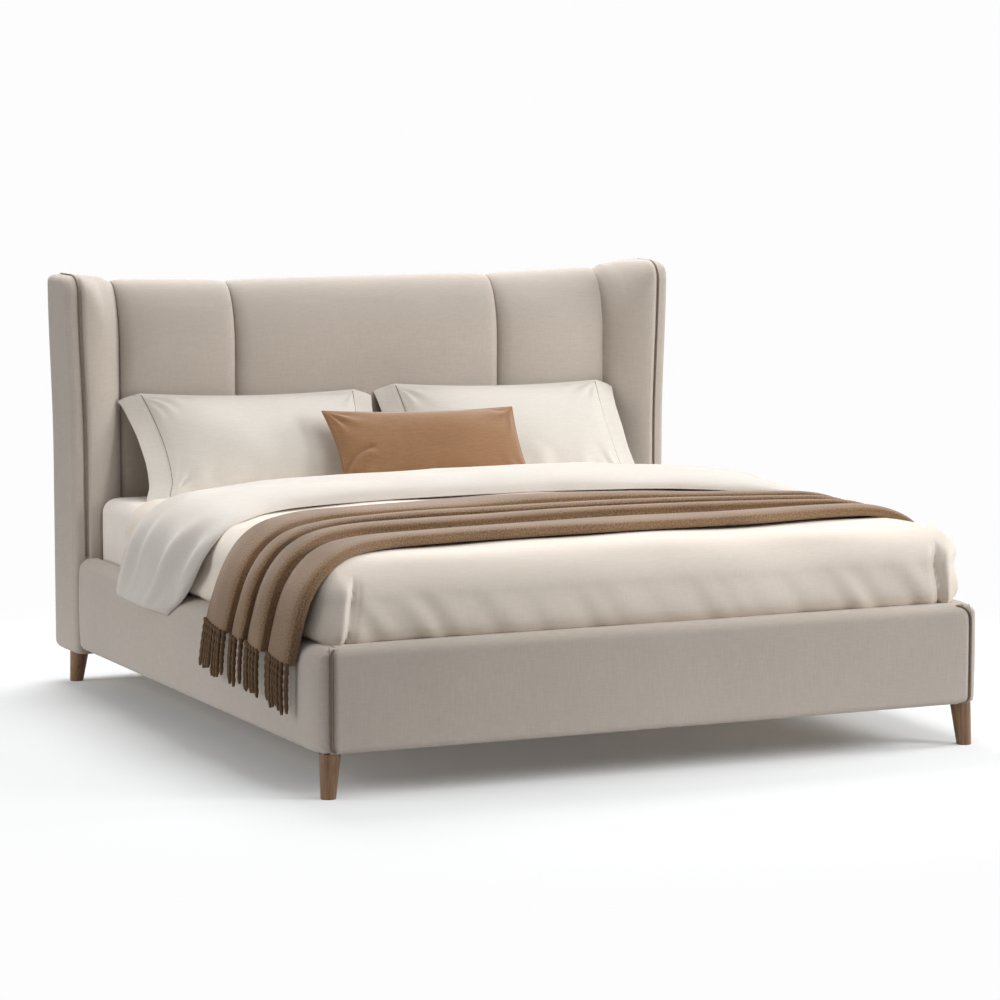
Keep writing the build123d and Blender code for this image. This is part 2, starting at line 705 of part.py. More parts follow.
def fold_plan():
    """Seen from above: the turned-down end, its front edge swept forward at both sides."""
    reach = flap_out + FLAP_GAP
    flat = reach - FOLD_SWEEP_SIDE
    mid_x = (flat + reach) / 2 + FOLD_BOW_OUT
    mid_y = (fold_front_y + flap_front_y) / 2 + FOLD_BOW_BACK
    return Curve() + [
        Line((-flat, fold_front_y), (flat, fold_front_y)),
        ThreePointArc((flat, fold_front_y), (mid_x, mid_y), (reach, flap_front_y)),
        Line((reach, flap_front_y), (reach, flap_rear_y)),
        ThreePointArc((reach, flap_rear_y), (0, fold_rear_y), (-reach, flap_rear_y)),
        Line((-reach, flap_rear_y), (-reach, flap_front_y)),
        ThreePointArc((-reach, flap_front_y), (-mid_x, mid_y), (-flat, fold_front_y))]


def fold_profile():
    """Across the bed: a puffed top, round shoulders and a flap that hangs outside each rail."""
    top = DUVET_TOP + FOLD_HEIGHT
    shoulder = DUVET_SHOULDER + FOLD_HEIGHT
    bend = shoulder * math.sqrt(0.5)
    edge_x = flap_out - shoulder
    low = rail_top - FLAP_DROP
    step = rail_top + FLAP_GAP
    inner_x = half_mattress
    roof = DUVET_TOP - FOLD_ROUND
    return Curve() + [
        Polyline((edge_x + shoulder, top - shoulder), (flap_out, low), (flap_in, low), (flap_in, step),
                 (inner_x, step), (inner_x, roof), (-inner_x, roof), (-inner_x, step),
                 (-flap_in, step), (-flap_in, low), (-flap_out, low), (-flap_out, top - shoulder)),
        ThreePointArc((-flap_out, top - shoulder), (-edge_x - bend, top - shoulder + bend),
                      (-edge_x, top)),
        ThreePointArc((-edge_x, top), (0, top + DUVET_CROWN), (edge_x, top)),
        ThreePointArc((edge_x, top), (edge_x + bend, top - shoulder + bend),
                      (flap_out, top - shoulder))]


def fold_side_view():
    """Along the bed: round edges on top, and the flap's lower hem rising towards the foot."""
    top = DUVET_TOP + FOLD_HEIGHT + DUVET_CROWN
    low = rail_top - FLAP_DROP
    points = [(flap_front_y, rail_top), (flap_front_y + FLAP_CORNER, low), (flap_rear_y, low),
              (flap_rear_y, DUVET_TOP - FOLD_ROUND), (fold_rear_y, DUVET_TOP - FOLD_ROUND),
              (fold_rear_y, top), (flap_front_y, top)]
    return rounded_outline(points, [FOLD_ROUND, FOLD_ROUND, FOLD_ROUND, 0, 0, FOLD_ROUND, 0])


def duvet_fold():
    body = along_solid(fold_profile(), flap_front_y - OVERRUN, fold_rear_y + OVERRUN)
    body = body & plan_solid(fold_plan(), 0, DUVET_TOP + SHEET_DROP)
    return body & across_solid(fold_side_view(), -BASE_WIDTH, BASE_WIDTH)


def duvet():
    body = along_solid(duvet_profile_across(), DUVET_FOOT_Y, fold_rear_y)
    body = body & across_solid(duvet_profile_along(), -BASE_WIDTH, BASE_WIDTH)
    middle = (DUVET_FOOT_Y + fold_rear_y) / 2
    plan = Pos(0, middle, 0) * RectangleRounded(2 * duvet_half, fold_rear_y - DUVET_FOOT_Y,
                                                DUVET_CORNER)
    body = body & extrude(plan, DUVET_TOP + SHEET_DROP)
    for side in sides.values():
        body = body - pleat(side)
    body = body + duvet_tuck()
    body = body + duvet_fold()
    return body - bedding_room()


def throw_stations():
    """Places along the throw, from the left hem over the bed to the right hem.

    Each is a place in X and Z, the way its outer side faces in degrees, and two edges in Y.
    The edges are shares of the throw's width on the bed, counted from its edge nearer the foot."""
    reach = DUVET_SHOULDER + THROW_LIFT
    side_x = duvet_half + THROW_LIFT
    shoulder_z = DUVET_TOP - DUVET_SHOULDER
    edge_x = duvet_half - DUVET_SHOULDER
    low = rail_top + THROW_LIFT
    half_way = ((flap_in + side_x) / 2, (low + shoulder_z) / 2)
    left = [(-flap_in, rail_top - THROW_HEM, 180, THROW_HEM_SHARES),
            (-flap_in, low, 180, THROW_RAIL_SHARES),
            (-half_way[0], half_way[1], 170, THROW_SIDE_SHARES)]
    right = [(half_way[0], half_way[1], 10, THROW_RIGHT_SHARES),
             (flap_in, low, 0, THROW_RIGHT_SHARES),
             (flap_in, rail_top - THROW_HEM, 0, THROW_RIGHT_SHARES)]
    over_left = []
    over_right = []
    for angle in THROW_BENDS:
        turn = math.radians(angle)
        x = edge_x + reach * math.cos(turn)
        z = shoulder_z + reach * math.sin(turn)
        over_left.append((-x, z, 180 - angle, THROW_SIDE_SHARES))
        over_right.insert(0, (x, z, angle, THROW_RIGHT_SHARES))
    top = []
    for x_share, edge_shares in THROW_TOP_SHARES:
        x = duvet_half * x_share
        z = DUVET_TOP + THROW_LIFT + DUVET_CROWN * (1 - (x / edge_x) ** 2)
        top.append((x, z, 90, edge_shares))
    span = throw_far_y - THROW_NEAR_Y
    rows = []
    for x, z, facing, edge_shares in left + over_left + top + over_right + right:
        near, far = edge_shares
        rows.append((x, z, facing, THROW_NEAR_Y + near * span, THROW_NEAR_Y + far * span))
    return rows


def throw_slice(x, z, facing, y0, y1):
    """A slice of the throw: flat below, with soft parallel ridges above."""
    angle = math.radians(facing)
    plane = Plane(origin=(x, 0, z), x_dir=(0, 1, 0), z_dir=(math.sin(angle), 0, -math.cos(angle)))
    lines = [Line((y1, 0), (y0, 0)), Line((y0, 0), (y0, THROW_THICK))]
    step = (y1 - y0) / THROW_RIDGES
    for i in range(THROW_RIDGES):
        start = y0 + step * i
        lines.append(ThreePointArc((start, THROW_THICK), (start + step / 2, THROW_THICK + THROW_RIDGE),
                                   (start + step, THROW_THICK)))
    lines.append(Line((y1, THROW_THICK), (y1, 0)))
    return plane * make_face(Curve() + lines)


def throw():
    rows = throw_stations()
    body = loft([throw_slice(*row) for row in rows], ruled=True)
    tassels = []
    for row, way in ((rows[0], -1), (rows[-1], 1)):
        x, z, facing, y0, y1 = row
        pitch = (y1 - y0) / THROW_TASSELS
        for i in range(THROW_TASSELS):
            y = y0 + pitch * i + pitch / 2
            half = pitch * TASSEL_HALF_SHARE
            tassels.append(block(x, x + way * TASSEL_THICK, y - half, y + half, z - THROW_FRINGE,
                                 z + TASSEL_THICK))
    return body + tassels


def soft_cushion(width, height, thick, edge):
    """A filled case: crowned in the middle, flat at its seam, its sides drawn in between corners."""
    slices = []
    for share, fullness in FULLNESS_SHARES:
        half = height / 2 - CORNER_PULL * (1 - share ** 2)
        bulge = edge / 2 + (thick - edge) / 2 * fullness + SEAM_PUFF
        lines = Curve() + [
            ThreePointArc((-half, edge / 2), (0, bulge), (half, edge / 2)),
            Line((half, edge / 2), (half, -edge / 2)),
            ThreePointArc((half, -edge / 2), (0, -bulge), (-half, -edge / 2)),
            Line((-half, -edge / 2), (-half, edge / 2))]
        slices.append(Plane.YZ.offset(share * width / 2) * make_face(lines))
    return loft(slices)


def lean(part, x, foot_y, foot_z, height):
    """Stand a cushion on its lower edge and lean it back at the pillows' slope."""
    slope = math.radians(PILLOW_SLOPE)
    middle = (x, foot_y + height / 2 * math.cos(slope), foot_z + height / 2 * math.sin(slope))
    return Pos(*middle) * Rot(PILLOW_SLOPE, 0, 0) * part


def pillow_foot():
    """Where a pillow's lower edge stands, so that its top leans on the channels."""
    slope = math.radians(PILLOW_SLOPE)
    reach = PILLOW_HEIGHT * math.cos(slope) + PILLOW_EDGE * math.sin(slope)
    y = seam_y - CHANNEL_CROWN - reach
    z = mattress_top + sheet_out + SOFT_GAP + PILLOW_EDGE * math.cos(slope) / 2
    return y, z


def pillow(side):
    flange = Box(pillow_width, PILLOW_HEIGHT, PILLOW_EDGE)
    upright = flange.edges().filter_by(Axis.Z)
    flange = fillet(upright, PILLOW_CORNER)
    body = soft_cushion(pillow_width - 2 * PILLOW_FLANGE, PILLOW_HEIGHT - 2 * PILLOW_HEM,
                        PILLOW_THICK, PILLOW_EDGE)
    foot_y, foot_z = pillow_foot()
    x = side * (pillow_width / 2 + PILLOW_GAP / 2)
    return lean(body + flange, x, foot_y, foot_z, PILLOW_HEIGHT)


def lumbar_cushion():
    """Leans on the pillows: parallel to them, half the two thicknesses in front."""
    body = soft_cushion(CUSHION_WIDTH, CUSHION_HEIGHT, CUSHION_THICK, CUSHION_EDGE)
    slope = math.radians(PILLOW_SLOPE)
    pillow_y, pillow_z = pillow_foot()
    away = (PILLOW_THICK + CUSHION_THICK) / 2 + 2 * SEAM_PUFF + SOFT_GAP
    foot_z = mattress_top + sheet_out + SOFT_GAP + CUSHION_EDGE * math.cos(slope) / 2
    along = (foot_z - pillow_z - away * math.cos(slope)) / math.sin(slope)
    foot_y = pillow_y - away * math.sin(slope) + along * math.cos(slope)
    return lean(body, CUSHION_X, foot_y, foot_z, CUSHION_HEIGHT)


# Every node by name

def build():
    nodes = {}
    bolts = bracket_bolts_one_side()
    front_leg_bolt = leg_bolt(LEG_FRONT_Y, RAIL_BOTTOM)
    rear_leg_bolt = leg_bolt(leg_rear_y, HEAD_BOTTOM)
    brackets = []
    all_bolts = []
    leg_bolts = []
    legs = {"front": (LEG_FRONT_Y, RAIL_BOTTOM), "rear": (leg_rear_y, HEAD_BOTTOM)}
    for name, side in sides.items():
        bored = {
            "side_rail_core": side_rail_core() - bolts - front_leg_bolt,
            "side_rail_cover": side_rail_cover() - bolts,
            "side_ledger": side_ledger(),
            "headboard_post": headboard_post(),
            "headboard_panel": headboard_panel_side(),
            "wing_board": wing_board(),
            "wing_base": wing_base() - bolts - rear_leg_bolt,
            "wing_pad": wing_pad(),
            "wing_side": wing_side(),
            "wing_piping": wing_piping(),
        }
        for node, part in bored.items():
            nodes[node + "_" + name] = mirrored(part, side)
        for end, (y, top_z) in legs.items():
            nodes["leg_" + end + "_" + name] = mirrored(leg(y, top_z), side)
            leg_bolts.append(mirrored(leg_bolt(y, top_z), side))
        for wall_y, inward in bracket_places():
            brackets.append(mirrored(corner_bracket(wall_y, inward) - bolts, side))
        all_bolts += [mirrored(part, side) for part in bolts]
        nodes["pillow_" + name] = pillow(side)
    nodes["footboard_core"] = footboard_core() - all_bolts
    nodes["footboard_cover"] = footboard_cover() - all_bolts
    nodes["footboard_piping"] = footboard_piping()
    nodes["headboard_core"] = headboard_core()
    nodes["headboard_top_rail"] = cross_rail(core_top - CROSS_RAIL)
    nodes["headboard_bottom_rail"] = cross_rail(CORE_BOTTOM)
    nodes["headboard_panel_centre"] = headboard_panel_centre()
    nodes["headboard_back_cover"] = headboard_back_cover()
    nodes["centre_beam"] = centre_beam()
    nodes["beam_hangers"] = Compound(beam_hangers())
    for name, share in zip(("foot", "head"), CENTRE_LEG_YS_SHARES):
        y = FOOT_THICK + (core_face_y - FOOT_THICK) * share
        nodes["centre_leg_" + name] = centre_leg(y)
        nodes["leveller_" + name] = leveller(y)
    for i in range(SLAT_COUNT):
        nodes["slat_{:02d}".format(i + 1)] = slat(i)
    nodes["corner_brackets"] = Compound(brackets)
    nodes["bracket_bolts"] = Compound(all_bolts)
    nodes["leg_bolts"] = Compound(leg_bolts)
    nodes["mattress"] = mattress()
    nodes["fitted_sheet"] = fitted_sheet()
    nodes["duvet"] = duvet()
    nodes["throw"] = throw()
    nodes["lumbar_cushion"] = lumbar_cushion()
    return nodes


os.makedirs("parts", exist_ok=True)
centred = Pos(0, -OVERALL_LENGTH / 2, 0)
for node, part in build().items():
    export_step(centred * part, "parts/" + node + ".step")
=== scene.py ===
import math

import bmesh
import bpy
import numpy as np
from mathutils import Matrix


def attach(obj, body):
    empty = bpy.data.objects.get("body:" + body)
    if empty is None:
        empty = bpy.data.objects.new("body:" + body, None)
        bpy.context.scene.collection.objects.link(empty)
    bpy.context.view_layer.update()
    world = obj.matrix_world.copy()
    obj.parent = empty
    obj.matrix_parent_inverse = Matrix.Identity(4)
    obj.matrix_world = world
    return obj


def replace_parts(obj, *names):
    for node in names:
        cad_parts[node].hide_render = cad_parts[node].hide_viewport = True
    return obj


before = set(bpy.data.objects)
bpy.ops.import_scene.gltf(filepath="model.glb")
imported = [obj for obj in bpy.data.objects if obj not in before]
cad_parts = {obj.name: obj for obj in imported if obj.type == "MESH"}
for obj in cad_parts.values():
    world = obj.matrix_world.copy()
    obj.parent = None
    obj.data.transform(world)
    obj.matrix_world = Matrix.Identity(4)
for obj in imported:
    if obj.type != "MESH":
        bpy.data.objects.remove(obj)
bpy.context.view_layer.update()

# View. A long lens stands off the left foot corner, a little above the bedding. The bed's own
# measures run from the footboard's front face, so the Y of every point is set back by half its length.
BED_LENGTH = 2.302
camera = bpy.data.objects.new("camera", bpy.data.cameras.new("camera"))
camera.location = (-4.8923, -9.6178 - BED_LENGTH / 2, 2.0462)
camera.rotation_euler = (math.radians(83.296), 0, math.radians(-24.49))
camera.data.lens = 138.74
camera.data.clip_end = 80
bpy.context.scene.collection.objects.link(camera)
bpy.context.scene.camera = camera


# Studio. A pale floor and a white surround. Two soft lamps stand high on the right, a broad one fills
# from the left, and two hang high up, one behind the headboard and one before the foot.
def colour(code):
    """sRGB hex to linear: c / 12.92 up to 0.04045, else ((c + 0.055) / 1.055) to the power 2.4."""
    c = np.array([int(code[i:i + 2], 16) for i in (1, 3, 5)]) / 255
    return (*np.where(c <= 0.04045, c / 12.92, ((c + 0.055) / 1.055) ** 2.4), 1.0)


def add(tree, kind, inputs=None, **settings):
    """Adds one node: its settings, then its sockets, each a plain value or (node, output) to link."""
    made = tree.nodes.new(kind)
    for key, value in settings.items():
        setattr(made, key, value)
    for key, value in (inputs or {}).items():
        if isinstance(value, tuple) and isinstance(value[0], bpy.types.Node):
            tree.links.new(value[0].outputs[value[1]], made.inputs[key])
        else:
            made.inputs[key].default_value = value
    return made


def new_material(name):
    """An empty material with its output node."""
    made = bpy.data.materials.new(name)
    made.use_nodes = True
    made.node_tree.nodes.clear()
    return made, made.node_tree, add(made.node_tree, "ShaderNodeOutputMaterial")


def seen_directly(tree):
    """1 where the camera, a mirror-like surface or glass looks straight at it, else 0."""
    path = add(tree, "ShaderNodeLightPath")
    first = add(tree, "ShaderNodeMath", {0: (path, "Is Camera Ray"), 1: (path, "Is Glossy Ray")},
                operation="MAXIMUM")
    return add(tree, "ShaderNodeMath", {0: (first, 0), 1: (path, "Is Transmission Ray")},
               operation="MAXIMUM")


world = bpy.data.worlds.new("white_surround")
bpy.context.scene.world = world
world.use_nodes = True
world.node_tree.nodes.clear()
direct = seen_directly(world.node_tree)
strength = add(world.node_tree, "ShaderNodeMapRange", {"Value": (direct, 0), "To Min": 0.28, "To Max": 1.0})
sky = add(world.node_tree, "ShaderNodeBackground", {"Color": colour("#fdfdfd"), "Strength": (strength, 0)})
add(world.node_tree, "ShaderNodeOutputWorld", {"Surface": (sky, 0)})

FLOOR_HALF = 40
floor_mesh = bpy.data.meshes.new("floor")
floor_mesh.from_pydata([(x * FLOOR_HALF, y * FLOOR_HALF, 0) for x, y in ((-1, -1), (1, -1), (1, 1), (-1, 1))],
                       [], [(0, 1, 2, 3)])
floor = bpy.data.objects.new("floor", floor_mesh)
bpy.context.scene.collection.objects.link(floor)
floor_paint, tree, out = new_material("painted_floor")
paint = add(tree, "ShaderNodeBsdfDiffuse", {"Color": colour("#f8fafb")})
lift = add(tree, "ShaderNodeEmission", {"Color": colour("#fdfdfd"), "Strength": (seen_directly(tree), 0)})
place = add(tree, "ShaderNodeTexCoord")
middle = add(tree, "ShaderNodeVectorMath", {0: (place, "Object")}, operation="LENGTH")
far_share = add(tree, "ShaderNodeMapRange", {"Value": (middle, "Value"), "From Min": 1.15, "From Max": 2.8,
                                             "To Min": 0.08, "To Max": 1.0}, interpolation_type="SMOOTHSTEP")
share = add(tree, "ShaderNodeMixShader", {0: (far_share, 0), 1: (paint, 0), 2: (lift, 0)})
tree.links.new(share.outputs[0], out.inputs["Surface"])
floor_mesh.materials.append(floor_paint)

for name, place, aim, size, power in (
        ("key_lamp", (4.3, -4.0, 2.6), (0.3, -0.6, 0.5), 1.8, 128),
        ("side_lamp", (5.6, -0.9, 2.4), (0.0, 0.6, 0.7), 1.6, 138),
        ("fill_lamp", (-6.2, 0.9, 2.0), (-0.6, 0.0, 0.4), 3.6, 124),
        ("rear_lamp", (0.3, 2.8, 4.2), (0.2, 0.0, 0.4), 3.0, 186),
        ("front_lamp", (0.4, -3.0, 4.6), (0.2, -1.0, 0.0), 3.0, 72)):
    lamp = bpy.data.objects.new(name, bpy.data.lights.new(name, "AREA"))
    lamp.data.size = size
    lamp.data.energy = power
    lamp.location = place
    way = np.array(aim) - np.array(place)
    flat = math.hypot(way[0], way[1])
    lamp.rotation_euler = (math.atan2(flat, -way[2]), 0, math.atan2(-way[0], way[1]))
    bpy.context.scene.collection.objects.link(lamp)


# Frame boards, slats and fittings. Plywood boards and softwood battens carry the covers inside; the
# slats lie on the ledgers; steel brackets, bolts and hangers join them, and two levellers carry the beam.
def wood(name, light, dark, ring_mm, rough, along):
    """Wood: rings stretched along the grain, drawn as wide as ring_mm, in two near browns."""
    made, tree, out = new_material(name)
    place = add(tree, "ShaderNodeTexCoord")
    scale = [1000 / ring_mm] * 3
    scale[along] /= 14
    laid = add(tree, "ShaderNodeMapping", {"Vector": (place, "Object"), "Scale": scale})
    grain = add(tree, "ShaderNodeTexNoise", {"Vector": (laid, 0), "Scale": 1.0, "Detail": 5.0,
                                             "Distortion": 0.6})
    pores = add(tree, "ShaderNodeTexNoise", {"Vector": (laid, 0), "Scale": 7.0, "Detail": 2.0})
    tone = add(tree, "ShaderNodeMapRange", {"Value": (grain, 0), "From Min": 0.35, "From Max": 0.65})
    both = add(tree, "ShaderNodeMix", {0: (tone, 0), 6: colour(dark), 7: colour(light)}, data_type="RGBA")
    bump = add(tree, "ShaderNodeBump", {"Height": (pores, 0), "Strength": 0.25, "Distance": 0.0004})
    finish = add(tree, "ShaderNodeBsdfPrincipled", {"Base Color": (both, 2), "Roughness": rough,
                                                    "Normal": (bump, 0)})
    tree.links.new(finish.outputs[0], out.inputs["Surface"])
    return made


def dress(nodes, material):
    """Gives CAD nodes their material."""
    for node in nodes:
        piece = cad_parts[node]
        piece.data.materials.clear()
        piece.data.materials.append(material)


sides = {"left": -1, "right": 1}
plywood = wood("birch_plywood", "#c9ad84", "#b79568", 24, 0.6, 1)
pine = wood("planed_pine", "#d3b688", "#c09c66", 30, 0.55, 0)
beech = wood("lacquered_beech_slats", "#d9b98c", "#cba672", 16, 0.4, 0)
dress(["footboard_core", "headboard_core"], plywood)
dress(["headboard_top_rail", "headboard_bottom_rail", "centre_beam"], pine)
for side in sides:
    dress([node + "_" + side for node in ("side_rail_core", "wing_board")], plywood)
    dress([node + "_" + side for node in ("side_ledger", "headboard_post", "wing_base")], pine)
dress(["slat_%02d" % (i + 1) for i in range(11)], beech)


def fitting_finish(name, tone, rough, metallic):
    """Steel or plastic: grit of half a millimetre in the finish, from drawing, coating or the mould."""
    made, tree, out = new_material(name)
    place = add(tree, "ShaderNodeTexCoord")
    grit = add(tree, "ShaderNodeTexNoise", {"Vector": (place, "Object"), "Scale": 2000.0})
    shade = add(tree, "ShaderNodeMapRange", {"Value": (grit, 0), "To Min": rough - 0.08,
                                             "To Max": rough + 0.08})
    bump = add(tree, "ShaderNodeBump", {"Height": (grit, 0), "Strength": 0.2, "Distance": 0.0002})
    finish = add(tree, "ShaderNodeBsdfPrincipled", {"Base Color": colour(tone), "Metallic": metallic,
                                                    "Roughness": (shade, 0), "Normal": (bump, 0)})
    tree.links.new(finish.outputs[0], out.inputs["Surface"])
    return made


black_steel = fitting_finish("powder_coated_steel", "#1c1c1d", 0.5, 0.0)
zinc = fitting_finish("zinc_plated_steel", "#a9abad", 0.35, 1.0)
nylon = fitting_finish("moulded_nylon", "#202021", 0.55, 0.0)
dress(["beam_hangers", "corner_brackets", "centre_leg_foot", "centre_leg_head"], black_steel)
dress(["bracket_bolts", "leg_bolts"], zinc)
dress(["leveller_foot", "leveller_head"], nylon)


# Legs. Four turned legs, stained walnut under satin lacquer, lean out at the corners.
walnut = wood("stained_walnut", "#8a6748", "#6a4c33", 9, 0.38, 2)
dress(["leg_" + end + "_" + side for end in ("front", "rear") for side in sides], walnut)


# Upholstery. A greige brushed weave over foam covers the rails, footboard, headboard and wings.
def cloth(name, light, dark, slub_mm, rough, sheen, relief_mm, mottle=0.5, sewn=True, slub=12):
    """Woven cloth: two crossed sets of slubs, slub_mm thick and slub times as long, and a cloudy change
    of tone. They follow the piece's cloth map if sewn, else the piece's own axes, level and upright.
    The real threads are finer than a picture shows, so the slubs are drawn as coarse as needed."""
    made, tree, out = new_material(name)
    place = add(tree, "ShaderNodeTexCoord")
    base, fine = "UV" if sewn else "Object", 1000 / slub_mm
    long_ = (fine, fine / slub, 1) if sewn else (fine, fine, fine / slub)
    cross = (fine / slub, fine, 1) if sewn else (fine / slub, fine / slub, fine)
    warp = add(tree, "ShaderNodeMapping", {"Vector": (place, base), "Scale": long_})
    weft = add(tree, "ShaderNodeMapping", {"Vector": (place, base), "Scale": cross})
    one = add(tree, "ShaderNodeTexNoise", {"Vector": (warp, 0), "Scale": 1.0, "Detail": 2.0})
    two = add(tree, "ShaderNodeTexNoise", {"Vector": (weft, 0), "Scale": 1.0, "Detail": 2.0})
    weave = add(tree, "ShaderNodeMath", {0: (one, 0), 1: (two, 0)}, operation="ADD")
    cloud = add(tree, "ShaderNodeTexNoise", {"Vector": (place, "Object"), "Scale": 4.0, "Detail": 3.0})
    soft = add(tree, "ShaderNodeMath", {0: (cloud, 0), 1: mottle}, operation="MULTIPLY")
    total = add(tree, "ShaderNodeMath", {0: (weave, 0), 1: (soft, 0)}, operation="ADD")
    tone = add(tree, "ShaderNodeMapRange", {"Value": (total, 0), "From Min": 0.70 + mottle / 2 - 0.15,
                                            "From Max": 1.30 + mottle / 2 + 0.15})
    both = add(tree, "ShaderNodeMix", {0: (tone, 0), 6: colour(dark), 7: colour(light)}, data_type="RGBA")
    bump = add(tree, "ShaderNodeBump", {"Height": (weave, 0), "Strength": 0.5, "Distance": relief_mm / 1000})
    finish = add(tree, "ShaderNodeBsdfPrincipled", {
        "Base Color": (both, 2), "Roughness": rough, "Specular IOR Level": 0.2, "Sheen Weight": sheen,
        "Sheen Roughness": 0.45, "Normal": (bump, 0)})
    tree.links.new(finish.outputs[0], out.inputs["Surface"])
    return made


def run(grid, axis, looped):
    """The mean length run along one direction of a grid, from its first line to each next one."""
    if looped:
        grid = np.concatenate([grid, np.take(grid, [0], axis)], axis)
    return np.r_[0, np.cumsum(np.linalg.norm(np.diff(grid, axis=axis), axis=2).mean(1 - axis))]


def piece(name, grid, material, body, slot, loop=(False, False), caps=False, weld=False, crease=50):
    """A mesh from a grid of points: quads join neighbours along both directions, loop closes a
    direction, caps closes the first and last line with one face. The cloth map holds the lengths run
    both ways, in metres. Faces are turned outwards by the sign of the volume that they enclose. weld
    merges points within 0.02 mm, and an edge sharper than crease, in degrees, is shaded as an edge."""
    rows, cols = grid.shape[:2]
    lines = np.arange(rows if loop[0] else rows - 1)
    steps = np.arange(cols if loop[1] else cols - 1)
    i, j = [part.ravel() for part in np.meshgrid(lines, steps, indexing="ij")]
    i2, j2 = (i + 1) % rows, (j + 1) % cols
    quads = np.stack([i * cols + j, i2 * cols + j, i2 * cols + j2, i * cols + j2], 1)
    u, v = run(grid, 0, loop[0]), run(grid, 1, loop[1])
    cloth_map = np.stack([np.stack([u[i], v[j]], 1), np.stack([u[i + 1], v[j]], 1),
                          np.stack([u[i + 1], v[j + 1]], 1), np.stack([u[i], v[j + 1]], 1)], 1)
    points = grid.reshape(-1, 3) - (0, BED_LENGTH / 2, 0)
    a, b, c, d = [points[quads[:, k]] - points.mean(0) for k in range(4)]
    inside_out = (a * np.cross(b, c)).sum() + (a * np.cross(c, d)).sum() < 0
    if inside_out:
        quads, cloth_map = quads[:, ::-1], cloth_map[:, ::-1]
    faces = quads.tolist()
    corners = cloth_map.reshape(-1, 2)
    if caps:
        first = list(range(cols))
        last = list(range((rows - 1) * cols, rows * cols))
        for face in (first[::-1], last) if inside_out else (first, last[::-1]):
            faces.append(face)
            corners = np.vstack([corners, points[face][:, [0, 2]]])
    mesh = bpy.data.meshes.new(name)
    mesh.from_pydata(points.tolist(), [], faces)
    mesh.uv_layers.new(name="cloth_map").data.foreach_set("uv", corners.ravel())
    mesh.polygons.foreach_set("use_smooth", [True] * len(faces))
    if weld:
        work = bmesh.new()
        work.from_mesh(mesh)
        bmesh.ops.remove_doubles(work, verts=work.verts, dist=0.00002)
        bmesh.ops.dissolve_degenerate(work, edges=work.edges, dist=0.00001)
        work.to_mesh(mesh)
        work.free()
    mesh.set_sharp_from_angle(angle=math.radians(crease))
    made = bpy.data.objects.new(name, mesh)
    bpy.context.scene.collection.objects.link(made)
    mesh.materials.append(material)
    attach(made, body)
    return made


def rounded(a0, a1, b0, b1, radii, corner=10, side=(24, 24)):
    """Points round a rectangle, from the lower left corner on: a quarter circle at each corner and an
    evenly divided straight line between two, the same count whatever the size."""
    centres = ((a0, b0, 1, 1, 180), (a1, b0, -1, 1, 270), (a1, b1, -1, -1, 0), (a0, b1, 1, -1, 90))
    arcs = []
    for (a, b, da, db, start), radius in zip(centres, radii):
        turn = np.radians(start + np.linspace(0, 90, corner))
        middle = np.array([a + da * radius, b + db * radius])
        arcs.append(middle + radius * np.stack([np.cos(turn), np.sin(turn)], 1))
    points = []
    for k in range(4):
        ahead = arcs[(k + 1) % 4][0]
        share = np.linspace(0, 1, side[k % 2] + 2)[1:-1, None]
        points += [arcs[k], arcs[k][-1] * (1 - share) + ahead * share]
    return np.vstack(points)


def smooth(x):
    """0 below 0, 1 above 1, and 3x^2 - 2x^3 between."""
    x = np.clip(x, 0, 1)
    return x * x * (3 - 2 * x)


def ripple(seed, points, wave, count=14, stretch=(1, 1, 1)):
    """A smooth wandering field: the mean of sines of random direction and phase, of that wavelength,
    with its axes stretched by the factors given. It runs from about -1 to 1."""
    random = np.random.default_rng(seed)
    ways = random.normal(size=(count, 3))
    ways /= np.linalg.norm(ways, axis=1)[:, None]
    phases = random.uniform(0, 2 * np.pi, count)
    sizes = random.uniform(0.7, 1.4, count)
    total = sum(np.sin(2 * np.pi * (points / stretch) @ way / (wave * size) + phase)
                for way, phase, size in zip(ways, phases, sizes))
    return total / math.sqrt(count / 2) / 1.6


greige = cloth("brushed_greige_weave", "#c6bbb1", "#b8aea3", 3, 0.9, 0.3, 0.15, 0.6, sewn=False)
RAIL_TOP, RAIL_LOW, RAIL_OUT, RAIL_IN = 0.420, 0.125, 1.050, 0.990
WING_FRONT, SETBACK = 2.095, 0.012
RAIL_END, NOTCH_END, NOTCH_IN = 2.0905, 0.0302, 1.0135
FOOT_DRAW, WING_DRAW = 0.080, 0.045


